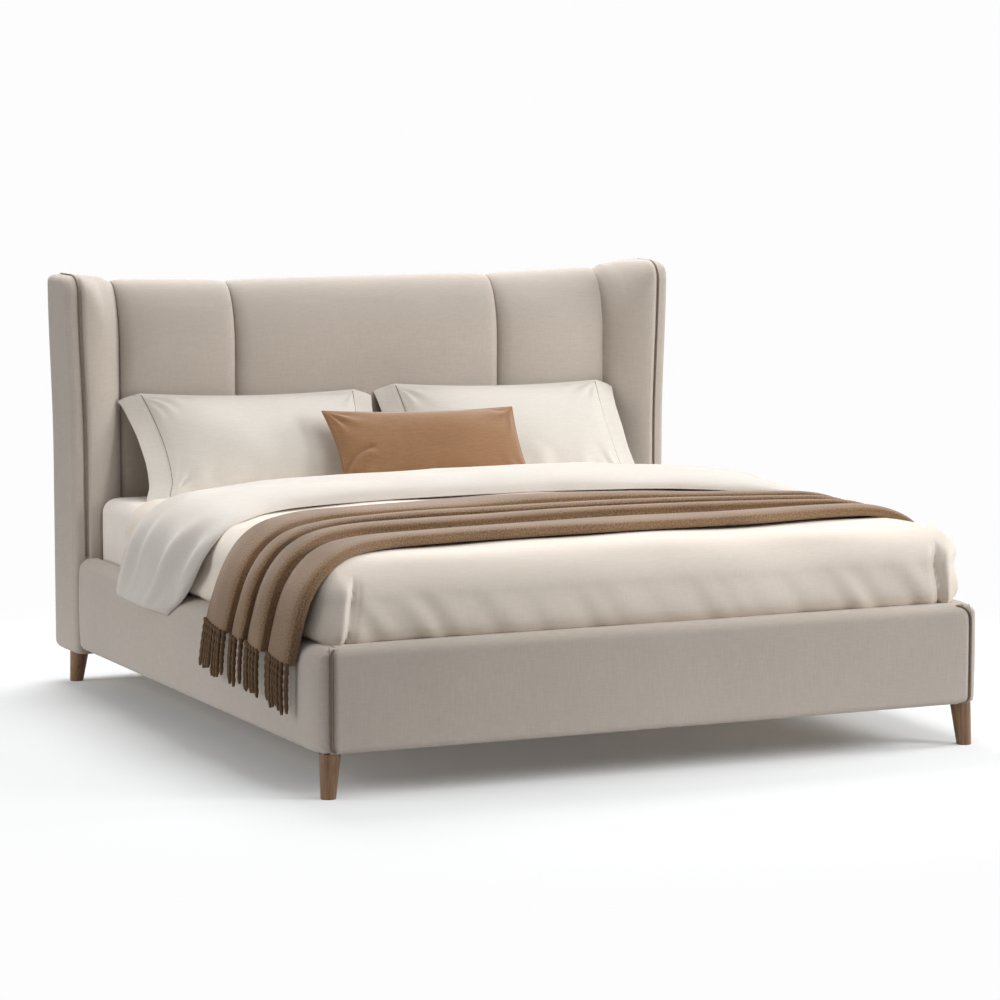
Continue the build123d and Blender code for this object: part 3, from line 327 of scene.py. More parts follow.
def rail_cover(name, side):
    """Slices along the rail: a rounded box whose outer face swells 5 mm at mid-height. Its end at the
    foot draws in 30 mm on a quarter ellipse towards the welt, and the one at the wing 22 mm. Its inner
    side is notched where the footboard's wrapped cover ends."""
    turn = np.linspace(0, np.pi / 2, 12)
    y = np.sort(np.r_[SETBACK + FOOT_DRAW * (1 - np.cos(turn)), NOTCH_END, np.linspace(0.1, 2.04, 50),
                      RAIL_END - WING_DRAW * (1 - np.cos(turn))])
    foot = 1 - np.sqrt(1 - (1 - np.clip((y - SETBACK) / FOOT_DRAW, 0, 1)) ** 2)
    head = 1 - np.sqrt(1 - (1 - np.clip((RAIL_END - y) / WING_DRAW, 0, 1)) ** 2)
    slices = []
    for place, pull, end in zip(y, foot, head):
        inner = RAIL_IN if place >= NOTCH_END else NOTCH_IN
        outer = max(RAIL_OUT - 0.030 * pull - 0.022 * end, inner + 0.006)
        top = RAIL_TOP - 0.020 * pull - 0.016 * end
        low = RAIL_LOW + 0.008 * pull + 0.004 * end
        round_ = min(0.034, outer - inner - 0.003)
        loop_ = rounded(inner, outer, low, top, (0.002, 0.6 * round_, round_, 0.002), 8, (6, 24))
        swell = 0.005 * (1 - ((loop_[:, 1] - (top + low) / 2) / ((top - low) / 2)) ** 2) * (1 - pull)
        x = loop_[:, 0] + swell * (loop_[:, 0] > outer - 0.004)
        slices.append(np.stack([side * x, np.full(len(x), place), loop_[:, 1]], 1))
    made = piece(name, np.array(slices), greige, "bed_frame", "upholstery", (False, True), True)
    return made


for name, side in sides.items():
    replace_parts(rail_cover("rail_upholstery_" + name, side), "side_rail_cover_" + name)

# Footboard. Its back and top are one wrapped cover; the crowned front panel is sewn in with a welt.
FOOT_BACK, WELT_X = 0.078, 1.0125
STEP_X, STEP_BACK, STEP_RUN = 0.990, 0.0295, 0.0005


def footboard_wrap():
    """Slices across the bed: a box with round top edges, stepped thinner at both ends, where the rails
    meet it."""
    slices = []
    for x in (-WELT_X, -STEP_X - STEP_RUN, -STEP_X + STEP_RUN, *np.linspace(-0.97, 0.97, 40),
              STEP_X - STEP_RUN, STEP_X + STEP_RUN, WELT_X):
        back = FOOT_BACK if abs(x) < STEP_X else STEP_BACK
        radii = (0.006, 0.006, 0.008, min(0.022, back - 0.021))
        loop_ = rounded(SETBACK, back, RAIL_LOW, RAIL_TOP, radii, 8, (6, 20))
        slices.append(np.stack([np.full(len(loop_), x), loop_[:, 0], loop_[:, 1]], 1))
    return piece("footboard_wrap", np.array(slices), greige, "bed_frame", "upholstery", (False, True), True)


def rings(box, radii, profile, place, counts=(10, (24, 24))):
    """A face built from rings: each is the rounded outline set in by the first number of its profile
    row, at the height of the second, and the last ones close on the middle line."""
    a0, a1, b0, b1 = box
    half = min(a1 - a0, b1 - b0) / 2
    grid = []
    for inset, height in profile:
        inset = min(inset, half - 1e-5)
        inner = [max(radius - inset, min(0.3 * (half - inset), 0.02)) for radius in radii]
        loop_ = rounded(a0 + inset, a1 - inset, b0 + inset, b1 - inset, inner, *counts)
        grid.append(place(loop_[:, 0], loop_[:, 1], height))
    return np.array(grid)


def set_back(z):
    """The face's top edge rolls back 17 mm over its last 24 mm, on a quarter ellipse."""
    return 0.017 * (1 - np.sqrt(1 - np.clip((z - 0.3945) / 0.0241, 0, 1) ** 2))


def front_panel():
    """Upright slices: low and top follow the rounded corners, and the face stands off the board by the
    product of three quarter ellipses, 16 mm wide at the ends and the lower edge and 34 mm at the upper
    edge, plus a crown."""
    reach, low, high = 1.0076, 0.1275, 0.4185
    end = reach * np.cos(np.linspace(0, 0.28, 26))
    x = np.sort(np.r_[-end, np.linspace(-0.96, 0.96, 70), end])
    slices = []
    for place in x:
        inside = reach - abs(place)
        cut = [r - math.sqrt(r * r - max(r - inside, 0) ** 2) for r in (0.018, 0.018 if place < 0 else 0.040)]
        z0, z1 = low + cut[0], high - cut[1]
        share = (1 - np.cos(np.linspace(0, np.pi, 60))) / 2
        z = z0 + (z1 - z0) * share
        near = [np.sqrt(1 - (1 - np.clip(gap / wide, 0, 1)) ** 2)
                for gap, wide in ((inside, 0.016), (z - z0, 0.016), (z1 - z, 0.034))]
        y = 0.0125 - (0.0090 + 0.0030 * (1 - (2 * share - 1) ** 2)) * near[0] * near[1] * near[2] ** 0.8
        front = np.stack([np.full(60, place), y + set_back(z), z], 1)
        back = np.stack([np.full(12, place), np.full(12, FOOT_BACK / 2),
                         np.linspace(z1 - 0.002, z0 + 0.002, 12)], 1)
        slices.append(np.vstack([front, back]))
    made = piece("footboard_front_panel", np.array(slices), greige, "bed_frame", "upholstery",
                 (False, True), True)
    return made


wrap = footboard_wrap()
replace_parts(wrap, "footboard_cover")
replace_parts(front_panel(), "footboard_cover")

# Welts. A brown bias-cut cord is sewn into the seam round the footboard's panel and along each wing;
# over the panel's long edges it lies sunk between the covers and hardly shows.
umber = cloth("brown_bias_welt", "#86776a", "#6e5f52", 3, 0.85, 0.15, 0.2)


def tube(path, radius, closed, sides_=12):
    """Circles carried along a path, each square to it: the path's direction crossed with a fixed one."""
    ahead = np.gradient(path, axis=0)
    if closed:
        ahead = np.roll(path, -1, 0) - np.roll(path, 1, 0)
    ahead /= np.linalg.norm(ahead, axis=1)[:, None]
    spread = np.abs(ahead).mean(0)
    fixed = np.eye(3)[spread.argmin()]
    across = np.cross(ahead, fixed)
    across /= np.linalg.norm(across, axis=1)[:, None]
    up = np.cross(across, ahead)
    turn = np.linspace(0, 2 * np.pi, sides_, endpoint=False)
    reach = radius if np.ndim(radius) else np.full(len(path), radius)
    return path[:, None] + reach[:, None, None] * (
        across[:, None] * np.cos(turn)[None, :, None] + up[:, None] * np.sin(turn)[None, :, None])


welt_line = rounded(-WELT_X, WELT_X, 0.128, 0.417, (0.023, 0.023, 0.045, 0.023), 12, (60, 16))
welt_path = np.stack([welt_line[:, 0], np.full(len(welt_line), 0.0071), welt_line[:, 1]], 1)
at_end = smooth((np.abs(welt_path[:, 0]) - np.where(welt_path[:, 0] < 0, 0.990, 0.960)) / 0.014)
welt_path += np.stack([0 * at_end, 0.014 * (1 - at_end) + 0.9 * set_back(welt_path[:, 2]),
                       0.0045 * (1 - at_end) * np.sign(0.27 - welt_path[:, 2])], 1)
welt = piece("footboard_welt", tube(welt_path, 0.0016 + 0.0022 * at_end, True), umber, "bed_frame", "welt",
             (True, True))
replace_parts(welt, "footboard_piping")

# Headboard. Three padded channels meet at pulled-in seams, roll over the top and hook behind the board.
SEAM, CORE_FACE, POST_BACK = 2.175, 2.235, 2.290
CORE_TOP, CHANNEL_TOP, WING_TOP = 1.240, 1.290, 1.325
SIDE_SEAM, CENTRE_SEAM, WING_IN, BOARD_FACE = 0.865, 0.470, 1.030, 1.0306
SIDE_RISE, HOOK = 0.012, 0.012


def top_height(x):
    """Level over the middle, up 12 mm to the side seams, then straight up to the wings."""
    x = abs(x)
    if x <= CENTRE_SEAM:
        return CHANNEL_TOP
    if x <= SIDE_SEAM:
        return CHANNEL_TOP + SIDE_RISE * ((x - CENTRE_SEAM) / (SIDE_SEAM - CENTRE_SEAM)) ** 2
    seam_top = CHANNEL_TOP + SIDE_RISE
    return seam_top + (WING_TOP - seam_top) * (x - SIDE_SEAM) / (WING_IN - SIDE_SEAM)


def pad_slice(x, front, top, low, sink, high=0.26, deep=0.2):
    """One upright slice: up the face, back over a quarter ellipse as high and deep as given, level to
    the rear edge and down behind the board. sink lowers the crest at a seam, where the cover is pulled."""
    deep = min(deep, POST_BACK - HOOK - front)
    points = [(front, z) for z in np.linspace(low, top - high, 24)]
    points += [(front + deep * (1 - math.cos(t)) ** 1.2, top - high + (high - sink) * math.sin(t))
               for t in np.linspace(0, np.pi / 2, 34)[1:]]
    points += [(y, top - sink) for y in np.linspace(front + deep, POST_BACK - HOOK + 0.0001, 5)[1:]]
    points += [(POST_BACK - HOOK + HOOK * math.sin(t), top - sink - HOOK * (1 - math.cos(t)))
               for t in np.linspace(0, np.pi / 2, 6)[1:]]
    points += [(POST_BACK, CORE_TOP), (CORE_FACE, CORE_TOP), (CORE_FACE, low)]
    points = np.array(points)
    return np.stack([np.full(len(points), x), points[:, 0], points[:, 1]], 1)


def pillowed(share, wide):
    """0 at both seams; rises on a steep quarter ellipse 44 mm wide and a long one 150 mm wide, then
    gently to 1 in the middle."""
    gap = np.minimum(share, 1 - share) * wide
    steep, long_ = [np.sqrt(1 - (1 - np.clip(gap / border, 0, 1)) ** 2) for border in (0.044, 0.150)]
    return 0.46 * steep + 0.38 * long_ + 0.16 * (1 - (2 * share - 1) ** 2)


def channel(name, x0, x1):
    """A channel: its face stands 33 mm out of the seams and up to 10 mm more above the pillows, and its
    top sinks 12 mm at the seams."""
    slices = []
    for share in (1 - np.cos(np.linspace(0, np.pi, 110))) / 2:
        x = x0 + (x1 - x0) * share
        full = pillowed(share, x1 - x0)
        slices.append(pad_slice(x, SEAM + 0.005 - 0.033 * full, top_height(x), 0.345, 0.012 * (1 - full)))
    grid = np.array(slices)
    rise = (grid[:, :, 2] - 0.93) / 0.36
    full = pillowed((grid[:, :, 0] - x0) / (x1 - x0), x1 - x0)
    bulge = smooth(3 * rise) * (1 - smooth((rise - 0.45) * 2)) * (grid[:, :, 1] < 2.26)
    grid[:, :, 1] -= 0.010 * full * bulge
    grid[:, :, 1] -= 0.0014 * ripple(4, grid, 0.30, stretch=(1, 1, 1.6)) * (grid[:, :, 1] < SEAM)
    return piece(name, grid, greige, "bed_frame", "upholstery", (False, True), True)


for name, x0, x1 in (("headboard_panel_left", -SIDE_SEAM, -CENTRE_SEAM),
                     ("headboard_panel_centre", -CENTRE_SEAM, CENTRE_SEAM),
                     ("headboard_panel_right", CENTRE_SEAM, SIDE_SEAM)):
    pad = channel(name.replace("panel", "channel"), x0 + 0.0005, x1 - 0.0005)
    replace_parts(pad, name)


def back_cover():
    """The thin cloth stretched over the back of the frame, hollowed 2 mm between the posts."""
    profile = [(0.0, 2.2905)] + [(0.010 * (1 - np.cos(t)), 2.292 + 0.010 * np.sin(t))
                                 for t in np.linspace(0, np.pi / 2, 5)]
    profile += [(0.01 + 0.5 * s, 2.302 - 0.002 * min(1, 4 * s)) for s in np.linspace(0.05, 1.15, 12)]
    return piece("headboard_back_cloth", rings(
        (-WING_IN, WING_IN, 0.105, CORE_TOP), (0.01,) * 4, profile,
        lambda a, b, h: np.stack([a, np.full(len(a), h), b], 1), (5, (60, 40))),
        greige, "bed_frame", "upholstery", (False, True), True, False)


back = back_cover()
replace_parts(back, "headboard_back_cover")


# Wings. A thick pad curves forward on the inside, a thin one covers the outside, and the welt joins them.
def flared(grid, side):
    """The wing's front edge leans outwards: it is 15 mm further in from the rail up to 0.75 m, and
    runs out to its full width at the top; the back edge stays upright."""
    share = smooth((1.30 - grid[..., 2]) / 0.55) * smooth((2.27 - grid[..., 1]) / 0.13)
    across = np.clip((np.abs(grid[..., 0]) - SIDE_SEAM) / (WING_IN - SIDE_SEAM), 0, 1)
    grid[..., 0] -= side * 0.015 * share * across
    return grid


def wing_pad(name, side):
    """From the seam the face bulges forward, at first at 54 degrees, and is level at the welt, where it
    rolls in."""
    slices = []
    for share in (1 - np.cos(np.linspace(0, np.pi, 64))) / 2:
        x = SIDE_SEAM + 0.0005 + (WING_IN - SIDE_SEAM) * share
        front = SEAM + 0.012 - 0.108 * (1 - (1 - share) ** 2.1) + 0.014 * math.exp(-((1 - share) / 0.06) ** 2)
        sink = 0.012 * (1 - smooth(share / 0.25)) + 0.001 * math.exp(-((1 - share) / 0.08) ** 2)
        near = smooth((share - 0.1) / 0.9)
        slices.append(pad_slice(side * x, front, top_height(x), 0.3105, sink, 0.26 - 0.19 * near,
                                0.2 - 0.125 * near))
    made = piece(name, flared(np.array(slices), side), greige, "bed_frame", "upholstery", (False, True), True)
    return made


def wing_outside(name, side):
    """Level slices: a flat inner side on the board, and an outer side that swells 3 mm and turns in on
    quarter circles of 21 mm. Both ends draw in along the rounded corners of the wing's outline: 60 mm
    in front and 26 mm behind at the top, 12 and 30 mm at the floor end."""
    near, far, low, high = 2.0915, BED_LENGTH, 0.105, WING_TOP - 0.005
    turn = np.linspace(0, 0.5 * np.pi, 14)
    z = np.sort(np.r_[low + 0.060 * (1 - np.cos(turn)), np.linspace(0.18, 1.25, 60),
                      high - 0.060 * (1 - np.cos(turn))])
    slices = []
    for level in z:
        gap = min(level - low, high - level)
        cut = [edge - math.sqrt(edge * edge - max(edge - gap, 0) ** 2)
               for edge in ((0.060, 0.026) if level > 0.7 else (0.012, 0.030))]
        deep = 0.0235 + 0.021 * math.sqrt(1 - (1 - min(gap / 0.024, 1)) ** 2)
        round_ = min(0.021, deep - 0.002)
        loop_ = rounded(near + cut[0], far - cut[1], BOARD_FACE, BOARD_FACE + deep,
                        (0.0002, 0.0002, round_, round_), 9, (24, 5))
        share = np.clip((loop_[:, 0] - near) / (far - near), 0, 1)
        slim = 0.003 + 0.0125 * smooth((1.30 - level) / 0.55) * smooth((loop_[:, 0] - 2.14) / 0.13)
        x = loop_[:, 1] + 0.003 * (1 - (2 * share - 1) ** 2) * (loop_[:, 1] > BOARD_FACE + deep - 0.001) \
            - slim * (loop_[:, 1] - BOARD_FACE) / deep
        slices.append(np.stack([side * x, loop_[:, 0], np.full(len(x), level)], 1))
    made = piece(name, flared(np.array(slices), side), greige, "bed_frame", "upholstery", (False, True), True)
    return made


for name, side in sides.items():
    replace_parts(wing_pad("wing_cushion_" + name, side), "wing_pad_" + name)
    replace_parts(wing_outside("wing_outside_" + name, side), "wing_side_" + name)
    y, high = WING_FRONT - 0.0054, WING_TOP - 0.0035
    corner = 0.065
    line = [(y, z) for z in np.linspace(RAIL_TOP + 0.0004, high - corner, 40)[:-1]]
    line += [(y + corner * (1 - np.cos(t)), high - corner * (1 - np.sin(t)))
             for t in np.linspace(0, np.pi / 2, 14)]
    line += [(b, high) for b in np.linspace(y + corner, 2.252, 7)[1:]]
    line += [(2.264, high - 0.0025), (2.273, high - 0.009)]
    path = flared(np.array([(side * 1.033, a, b) for a, b in line]), side)
    cord = piece("wing_welt_" + name, tube(path, 0.0034, False), umber, "bed_frame", "welt",
                 (False, True), True)
    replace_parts(cord, "wing_piping_" + name)

# Mattress. A foam block in pale ticking with a taped edge, under a stretched fitted sheet.
ticking = cloth("quilted_ticking", "#ece9e3", "#e0dcd5", 6, 0.9, 0.1, 0.8)
MATTRESS = (-0.965, 0.965, 0.100, 2.130)
MATTRESS_TOP, MATTRESS_MIDDLE = 0.605, 1.115
upright = lambda a, b, h: np.stack([a, b, np.full(len(a), h)], 1)


def mattress():
    """Rings from the middle of the base, out, up the border with its two taped edges, and in again."""
    base = [(0.9, 0.332), (0.3, 0.331), (0.06, 0.3305)]
    low = [(0.026 * (1 - np.sin(t)), 0.330 + 0.026 * (1 - np.cos(t))) for t in np.linspace(0, np.pi / 2, 7)]
    wall = [(0.004, 0.366), (0.0, 0.40), (0.0, 0.54)]
    high = [(0.042 * (1 - np.cos(t)), 0.563 + 0.042 * np.sin(t)) for t in np.linspace(0, np.pi / 2, 9)]
    top = [(inset, MATTRESS_TOP) for inset in (0.06, 0.3, 0.964)]
    made = piece("mattress_block", rings(MATTRESS, (0.07,) * 4, base + low + wall + high + top, upright,
                                         (10, (40, 40))),
                 ticking, "mattress", "mattress_ticking", (False, True), False, True)
    return made


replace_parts(mattress(), "mattress")
percale = cloth("cotton_percale", "#f8f1e8", "#f0e7de", 3, 0.85, 0.15, 0.1, 0.8, sewn=False)


def fitted_sheet():
    """Rings over the mattress, 1.8 mm off it, with short pulls fanning from the corners."""
    off = 0.0018
    wall = [(-off + 0.0015, 0.370), (-off, 0.40), (-off, 0.50), (-off, 0.545)]
    high = [(0.042 - (0.042 + off) * np.cos(t), 0.563 + (0.042 + off) * np.sin(t))
            for t in np.linspace(0, np.pi / 2, 14)]
    top = [(s, MATTRESS_TOP + off) for s in (0.07, 0.1, 0.2, 0.35, 0.5, 0.7, 0.9, 0.9648)]
    grid = rings(MATTRESS, (0.07,) * 4, wall + high + top, upright, (14, (70, 70)))
    centre = np.array([0, MATTRESS_MIDDLE, 0.45])
    near = np.exp(-((np.abs(grid[..., 0]) - 0.965) ** 2
                    + (np.abs(grid[..., 1] - MATTRESS_MIDDLE) - 1.015) ** 2) / 0.02)
    away = grid - centre
    away /= np.linalg.norm(away, axis=2)[..., None]
    pull = ripple(8, grid, 0.07, stretch=(1, 1, 4)) * 0.0022 * near
    grid = grid + away * np.abs(pull)[..., None]
    made = piece("fitted_sheet_cloth", grid, percale, "mattress", "sheet_cotton", (False, True), False, True)
    return made


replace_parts(fitted_sheet(), "fitted_sheet")

# Duvet. A filled quilt in a beige cover lies over the mattress, tucked in at the foot and sides.
sateen = cloth("cotton_sateen_beige", "#eee3d7", "#e3d7ca", 3, 0.75, 0.2, 0.1, 0.8, sewn=False)
DUVET_HALF, DUVET_FOOT, DUVET_REAR = 1.028, 0.062, 1.730
duvet_rows = [(0.042, 0.030, 0.398), (0.036, 0.020, 0.412), (0.018, 0.010, 0.4235), (0.005, 0.003, 0.436),
              (0.0, 0.0, 0.455), (0.001, 0.0, 0.480), (0.005, 0.002, 0.505), (0.010, 0.004, 0.525)]
duvet_rows += [(0.012 + 0.120 * (1 - math.cos(t)), 0.005 + 0.124 * (1 - math.cos(t)),
                0.535 + 0.105 * math.sin(t)) for t in np.linspace(0, np.pi / 2, 22)]
duvet_rows += [(0.132 + 0.702 * s, 0.129 + 0.703 * s, 0.640) for s in np.linspace(0.012, 1, 56)]


def shouldered(x, z):
    """The bedding's right shoulder reaches 25 mm further out than its left one."""
    return x + 0.025 * smooth((x - 0.5) / 0.3) * smooth((z - 0.52) / 0.09)


def quilt():
    """Rings from the tuck, up the bulging sides, over round shoulders and in over a level top. At each
    foot corner the side is folded over the front: a slit runs up from the footboard and fades out."""
    grid = []
    for side_in, foot_in, z in duvet_rows:
        x = DUVET_HALF - side_in
        radius = max(0.075 - side_in, 0.004)
        rear = DUVET_REAR - max(0, side_in - 0.132) * 1.02
        loop_ = rounded(-x, x, DUVET_FOOT + foot_in, rear, (radius, radius, 0.003, 0.003), 26, (380, 120))
        grid.append(upright(loop_[:, 0], loop_[:, 1], z))
    grid = np.array(grid)
    x, y, z = grid[..., 0].copy(), grid[..., 1].copy(), grid[..., 2].copy()
    flat = smooth((z - 0.60) / 0.04)
    slanted = grid + 0.7 * (z - 0.42)[..., None] * (1, 0, 0)
    grid[..., 2] += flat * (0.006 * (1 - (x / 0.945) ** 2) + 0.0035 * ripple(21, grid, 0.55))
    front = smooth((0.20 - y) / 0.08) * (1 - flat)
    low = smooth((0.58 - z) / 0.12)
    ends = 0.35 + 0.65 * smooth((np.abs(x) - 0.45) / 0.45)
    pucker = ripple(22, slanted, 0.085, stretch=(1, 3, 5)) * 0.0050 * low * ends \
        + 0.004 * ripple(23, grid, 0.4)
    grid[..., 1] -= pucker * front
    wall = smooth((np.abs(x) - 0.95) / 0.03) * (1 - flat)
    grid[..., 0] += np.sign(x) * wall * (ripple(24, grid, 0.09, stretch=(1, 1, 5)) * 0.003 * low
                                         + 0.004 * ripple(25, grid, 0.45))
    for side in (-1, 1):
        line = side * (0.945 - (z - 0.41) * 0.18)
        s = (x - line) * side
        high = smooth((0.61 - z) / 0.05) * front
        grid[..., 1] += high * (0.016 * np.exp(-(s / 0.0045) ** 2)
                                - 0.013 * np.exp(-((s - 0.030) / 0.022) ** 2)
                                + 0.006 * np.exp(-((s + 0.012) / 0.009) ** 2))
        grid[..., 0] += side * high * 0.007 * np.exp(-((s - 0.012) / 0.010) ** 2)
    grid[..., 0] = shouldered(grid[..., 0], z)
    made = piece("quilt", grid, sateen, "mattress", "duvet_cotton", (False, True), True, True, 80)
    return made


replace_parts(quilt(), "duvet")

# Turned-down end. The head end of the duvet is folded back on itself, paler side up, and hangs over
# both rails in a soft flap.
lining = cloth("cotton_sateen_ivory", "#d6d0c8", "#cec6be", 3, 0.75, 0.2, 0.1, 0.8, sewn=False)
HEM_X, FLAT_X = 1.0545, 0.80


def even(points, count):
    """The same line again, with that many points, evenly spaced."""
    run_ = np.r_[0, np.cumsum(np.linalg.norm(np.diff(points, axis=0), axis=1))]
    at = np.linspace(0, run_[-1], count)
    return np.stack([np.interp(at, run_, points[:, k]) for k in range(points.shape[1])], 1)


def soften_line(values, reach):
    """A running mean over 2 * reach + 1 values, the ends held."""
    padded_ = np.r_[[values[0]] * reach, values, [values[-1]] * reach]
    return np.convolve(padded_, np.ones(2 * reach + 1) / (2 * reach + 1), "valid")


def over_bed(hem, bend, top, crown, counts):
    """A line across the bed from the left hem to the right: upright to the bend, round the shoulder on a
    superellipse of power 0.77, and over a top that is crowned in the middle. counts holds the points of
    the upright stretch, of the shoulder and of the whole line."""
    half = [(-HEM_X, z) for z in np.linspace(hem, bend, counts[0])[:-1]]
    half += [(-FLAT_X - (HEM_X - FLAT_X) * math.cos(t) ** 0.77, bend + (top - bend) * math.sin(t) ** 0.77)
             for t in np.linspace(0, np.pi / 2, counts[1])]
    half += [(x, top + crown * (1 - (x / FLAT_X) ** 2)) for x in np.linspace(-FLAT_X, 0, 50)[1:]]
    half = np.array(half)
    path = np.vstack([half, (half * (-1, 1))[::-1][1:]])
    return even(np.stack([shouldered(path[:, 0], path[:, 1]), path[:, 1]], 1), counts[2])


def ways_out(path):
    """At each point of a line over the bed: its direction turned a quarter outwards, and the length run."""
    ahead = np.gradient(path, axis=0)
    ahead /= np.linalg.norm(ahead, axis=1)[:, None]
    steps = np.linalg.norm(np.diff(path, axis=0), axis=1)
    return np.stack([-ahead[:, 1], ahead[:, 0]], 1), np.r_[0, np.cumsum(steps)]


def turnback():
    """Slices down the fold's path, from the left hem over the bed to the right hem; each is a closed
    rounded strip between its front and rear edge, 60 mm thick on top and 34 mm at the hems, widest low
    down."""
    path = over_bed(0.352, 0.455, 0.645, 0.004, (16, 40, 300))
    out, run_ = ways_out(path)
    whole = run_[-1]
    hem = np.minimum(run_, whole - run_)
    front = np.interp(hem, [0, 0.03, 0.08, 0.10, 0.14, 0.19, 0.26, 0.33, 0.40, 0.52, 0.63, 0.73, 1.0, 1.35],
                      [1.24, 1.13, 1.045, 1.01, 0.965, 0.935, 0.935, 0.99, 1.05, 1.185, 1.26, 1.29, 1.33,
                       1.34])
    front = soften_line(front, 4)
    rear = np.interp(hem, [0, 0.06, 0.15, 0.24, 0.31, 0.41, 0.51, 0.69, 1.35],
                     [1.68, 1.63, 1.57, 1.54, 1.57, 1.64, 1.695, 1.73, 1.73])
    rear = soften_line(rear, 6)
    thick = 0.034 + 0.012 * smooth((hem - 0.06) / 0.30) + 0.014 * smooth((hem - 0.35) / 0.65)
    close = np.sqrt(np.clip(1 - (1 - np.clip(hem / 0.026, 0, 1)) ** 2, 0.02, 1))
    around = 140
    turn = np.linspace(0, 2 * np.pi, around, endpoint=False)
    along = np.sign(np.cos(turn)) * np.abs(np.cos(turn)) ** (2 / 2.9)
    over = np.sign(np.sin(turn)) * np.abs(np.sin(turn)) ** (2 / 2.2)
    height = np.where(over > 0, 0.05 + 0.95 * over, 0.05 * (1 + over))
    slices = []
    for k in range(len(path)):
        middle, reach = (front[k] + rear[k]) / 2, (rear[k] - front[k]) / 2
        y = middle + reach * along
        lift_ = thick[k] * height * close[k] + 0.0004
        fall = smooth((0.655 - path[k, 1]) / 0.12)
        narrow = 1 - 0.35 * smooth((hem[k] - 0.1) / 0.4)
        spread = np.stack([(y - middle) * narrow, np.full(around, hem[k]), y * 0], 1)
        crease = ripple(31, spread, 0.075, stretch=(1, 4, 1)) \
            + 0.6 * ripple(33, spread, 0.14, stretch=(1, 3, 1))
        drift = ripple(32, np.stack([y, np.full(around, run_[k]), y * 0], 1), 0.5)
        wave = (0.0025 + 0.0085 * fall) * crease + 0.004 * drift
        lift_ = lift_ + wave * np.clip(over, 0, 1) * close[k]
        slices.append(np.stack([path[k, 0] + out[k, 0] * lift_, y, path[k, 1] + out[k, 1] * lift_], 1))
    made = piece("quilt_turned_end", np.array(slices), lining, "mattress", "duvet_cotton", (False, True),
                 True)
    return made


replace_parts(turnback(), "duvet")

# Throw. A brown knitted blanket lies across the foot half of the bed in long folds, with twisted
# tassels along both ends, which hang outside the rails.
knit = cloth("brown_wool_knit", "#a58566", "#5a4632", 4, 0.95, 0.28, 2.6, 0.5, slub=1.5)


def throw_frame(count):
    """The path from hem to hem just above the quilt, with its outward way and its two edges."""
    path = over_bed(0.370, 0.430, 0.6455, 0.005, (12, 50, count))
    path = np.stack([soften_line(path[:, 0], 2), soften_line(path[:, 1], 2)], 1)
    out, run_ = ways_out(path)
    at = [0, 0.02, 0.08, 0.14, 0.20, 0.25, 0.315, 0.39, 0.47, 0.56, 0.80, 1.25, 1.70, 1.98, 2.14, 2.24, 2.34,
          2.50]
    near = [0.175, 0.155, 0.10, 0.085, 0.085, 0.095, 0.14, 0.20, 0.255, 0.285, 0.305, 0.315, 0.32, 0.385,
            0.39, 0.37, 0.35, 0.33]
    far = [0.875, 0.86, 0.815, 0.785, 0.785, 0.815, 0.88, 0.960, 1.045, 1.115, 1.195, 1.215, 1.155, 1.02,
           0.94, 0.90, 0.87, 0.86]
    at = np.array(at) * (run_[-1] / at[-1])
    return (path, out, run_, soften_line(np.interp(run_, at, near), 8),
            soften_line(np.interp(run_, at, far), 8))


FOLDS = ((0.0, 0.31, 0.027), (0.31, 0.47, 0.026), (0.47, 0.70, 0.030), (0.70, 1.0, 0.028))


def fold_height(share):
    """Four long folds from the far edge on: each rises on a quarter sine to a ridge at 0.78 of its
    width, then drops on a quarter ellipse, leaning over the valley. Gives the height and the lean."""
    height, lean = np.zeros_like(share), np.zeros_like(share)
    for start, end, peak in FOLDS:
        t = np.clip((share - start) / (end - start), 0, 1)
        inside = (share >= start) & (share < end)
        rise = np.sin(np.pi / 2 * np.clip(t / 0.78, 0, 1)) ** 0.9
        drop = np.sqrt(1 - np.clip((t - 0.78) / 0.22, 0, 1) ** 2)
        height = np.where(inside, peak * rise * drop, height)
        lean = np.where(inside, 0.015 * smooth(t / 0.9) * (1 - smooth((t - 0.9) / 0.1)), lean)
    return height, lean


path, out, run_, near, far = throw_frame(320)


def blanket():
    """Each slice across the throw follows the folds; their places wander slowly along it."""
    across = 220
    share = np.linspace(0, 1, across)
    slices = []
    for k in range(len(path)):
        place = np.stack([share * 0.9, np.full(across, run_[k]), share * 0], 1)
        moved = np.clip(share + 0.020 * ripple(41, place * (0, 1, 0), 0.8) * np.sin(np.pi * share), 0, 1)
        height, lean = fold_height(moved)
        y = far[k] + (near[k] - far[k]) * share - lean
        height = 0.003 + height + 0.0025 * ripple(42, place, 0.25, stretch=(1, 3, 1)) * smooth(height / 0.01)
        slant = (0.016 - 0.036 * share) * smooth((0.50 - path[k, 1]) / 0.13)
        slices.append(np.stack([path[k, 0] + out[k, 0] * height, y,
                                path[k, 1] + out[k, 1] * height + slant], 1))
    grid = np.array(slices)
    made = piece("throw_blanket", grid, knit, "throw", "throw_knit")
    wall = made.modifiers.new("cloth_thickness", "SOLIDIFY")
    wall.thickness = 0.005
    wall.offset = 0
    return made, grid


blanket_piece, blanket_grid = blanket()
# The tassels are the throw's wool; their darker browns are painted shade for the hanging cords.
twist = cloth("brown_wool_twist_painted_shade", "#856a51", "#46341f", 4, 0.95, 0.1, 1.5, 0.5, slub=1.5)


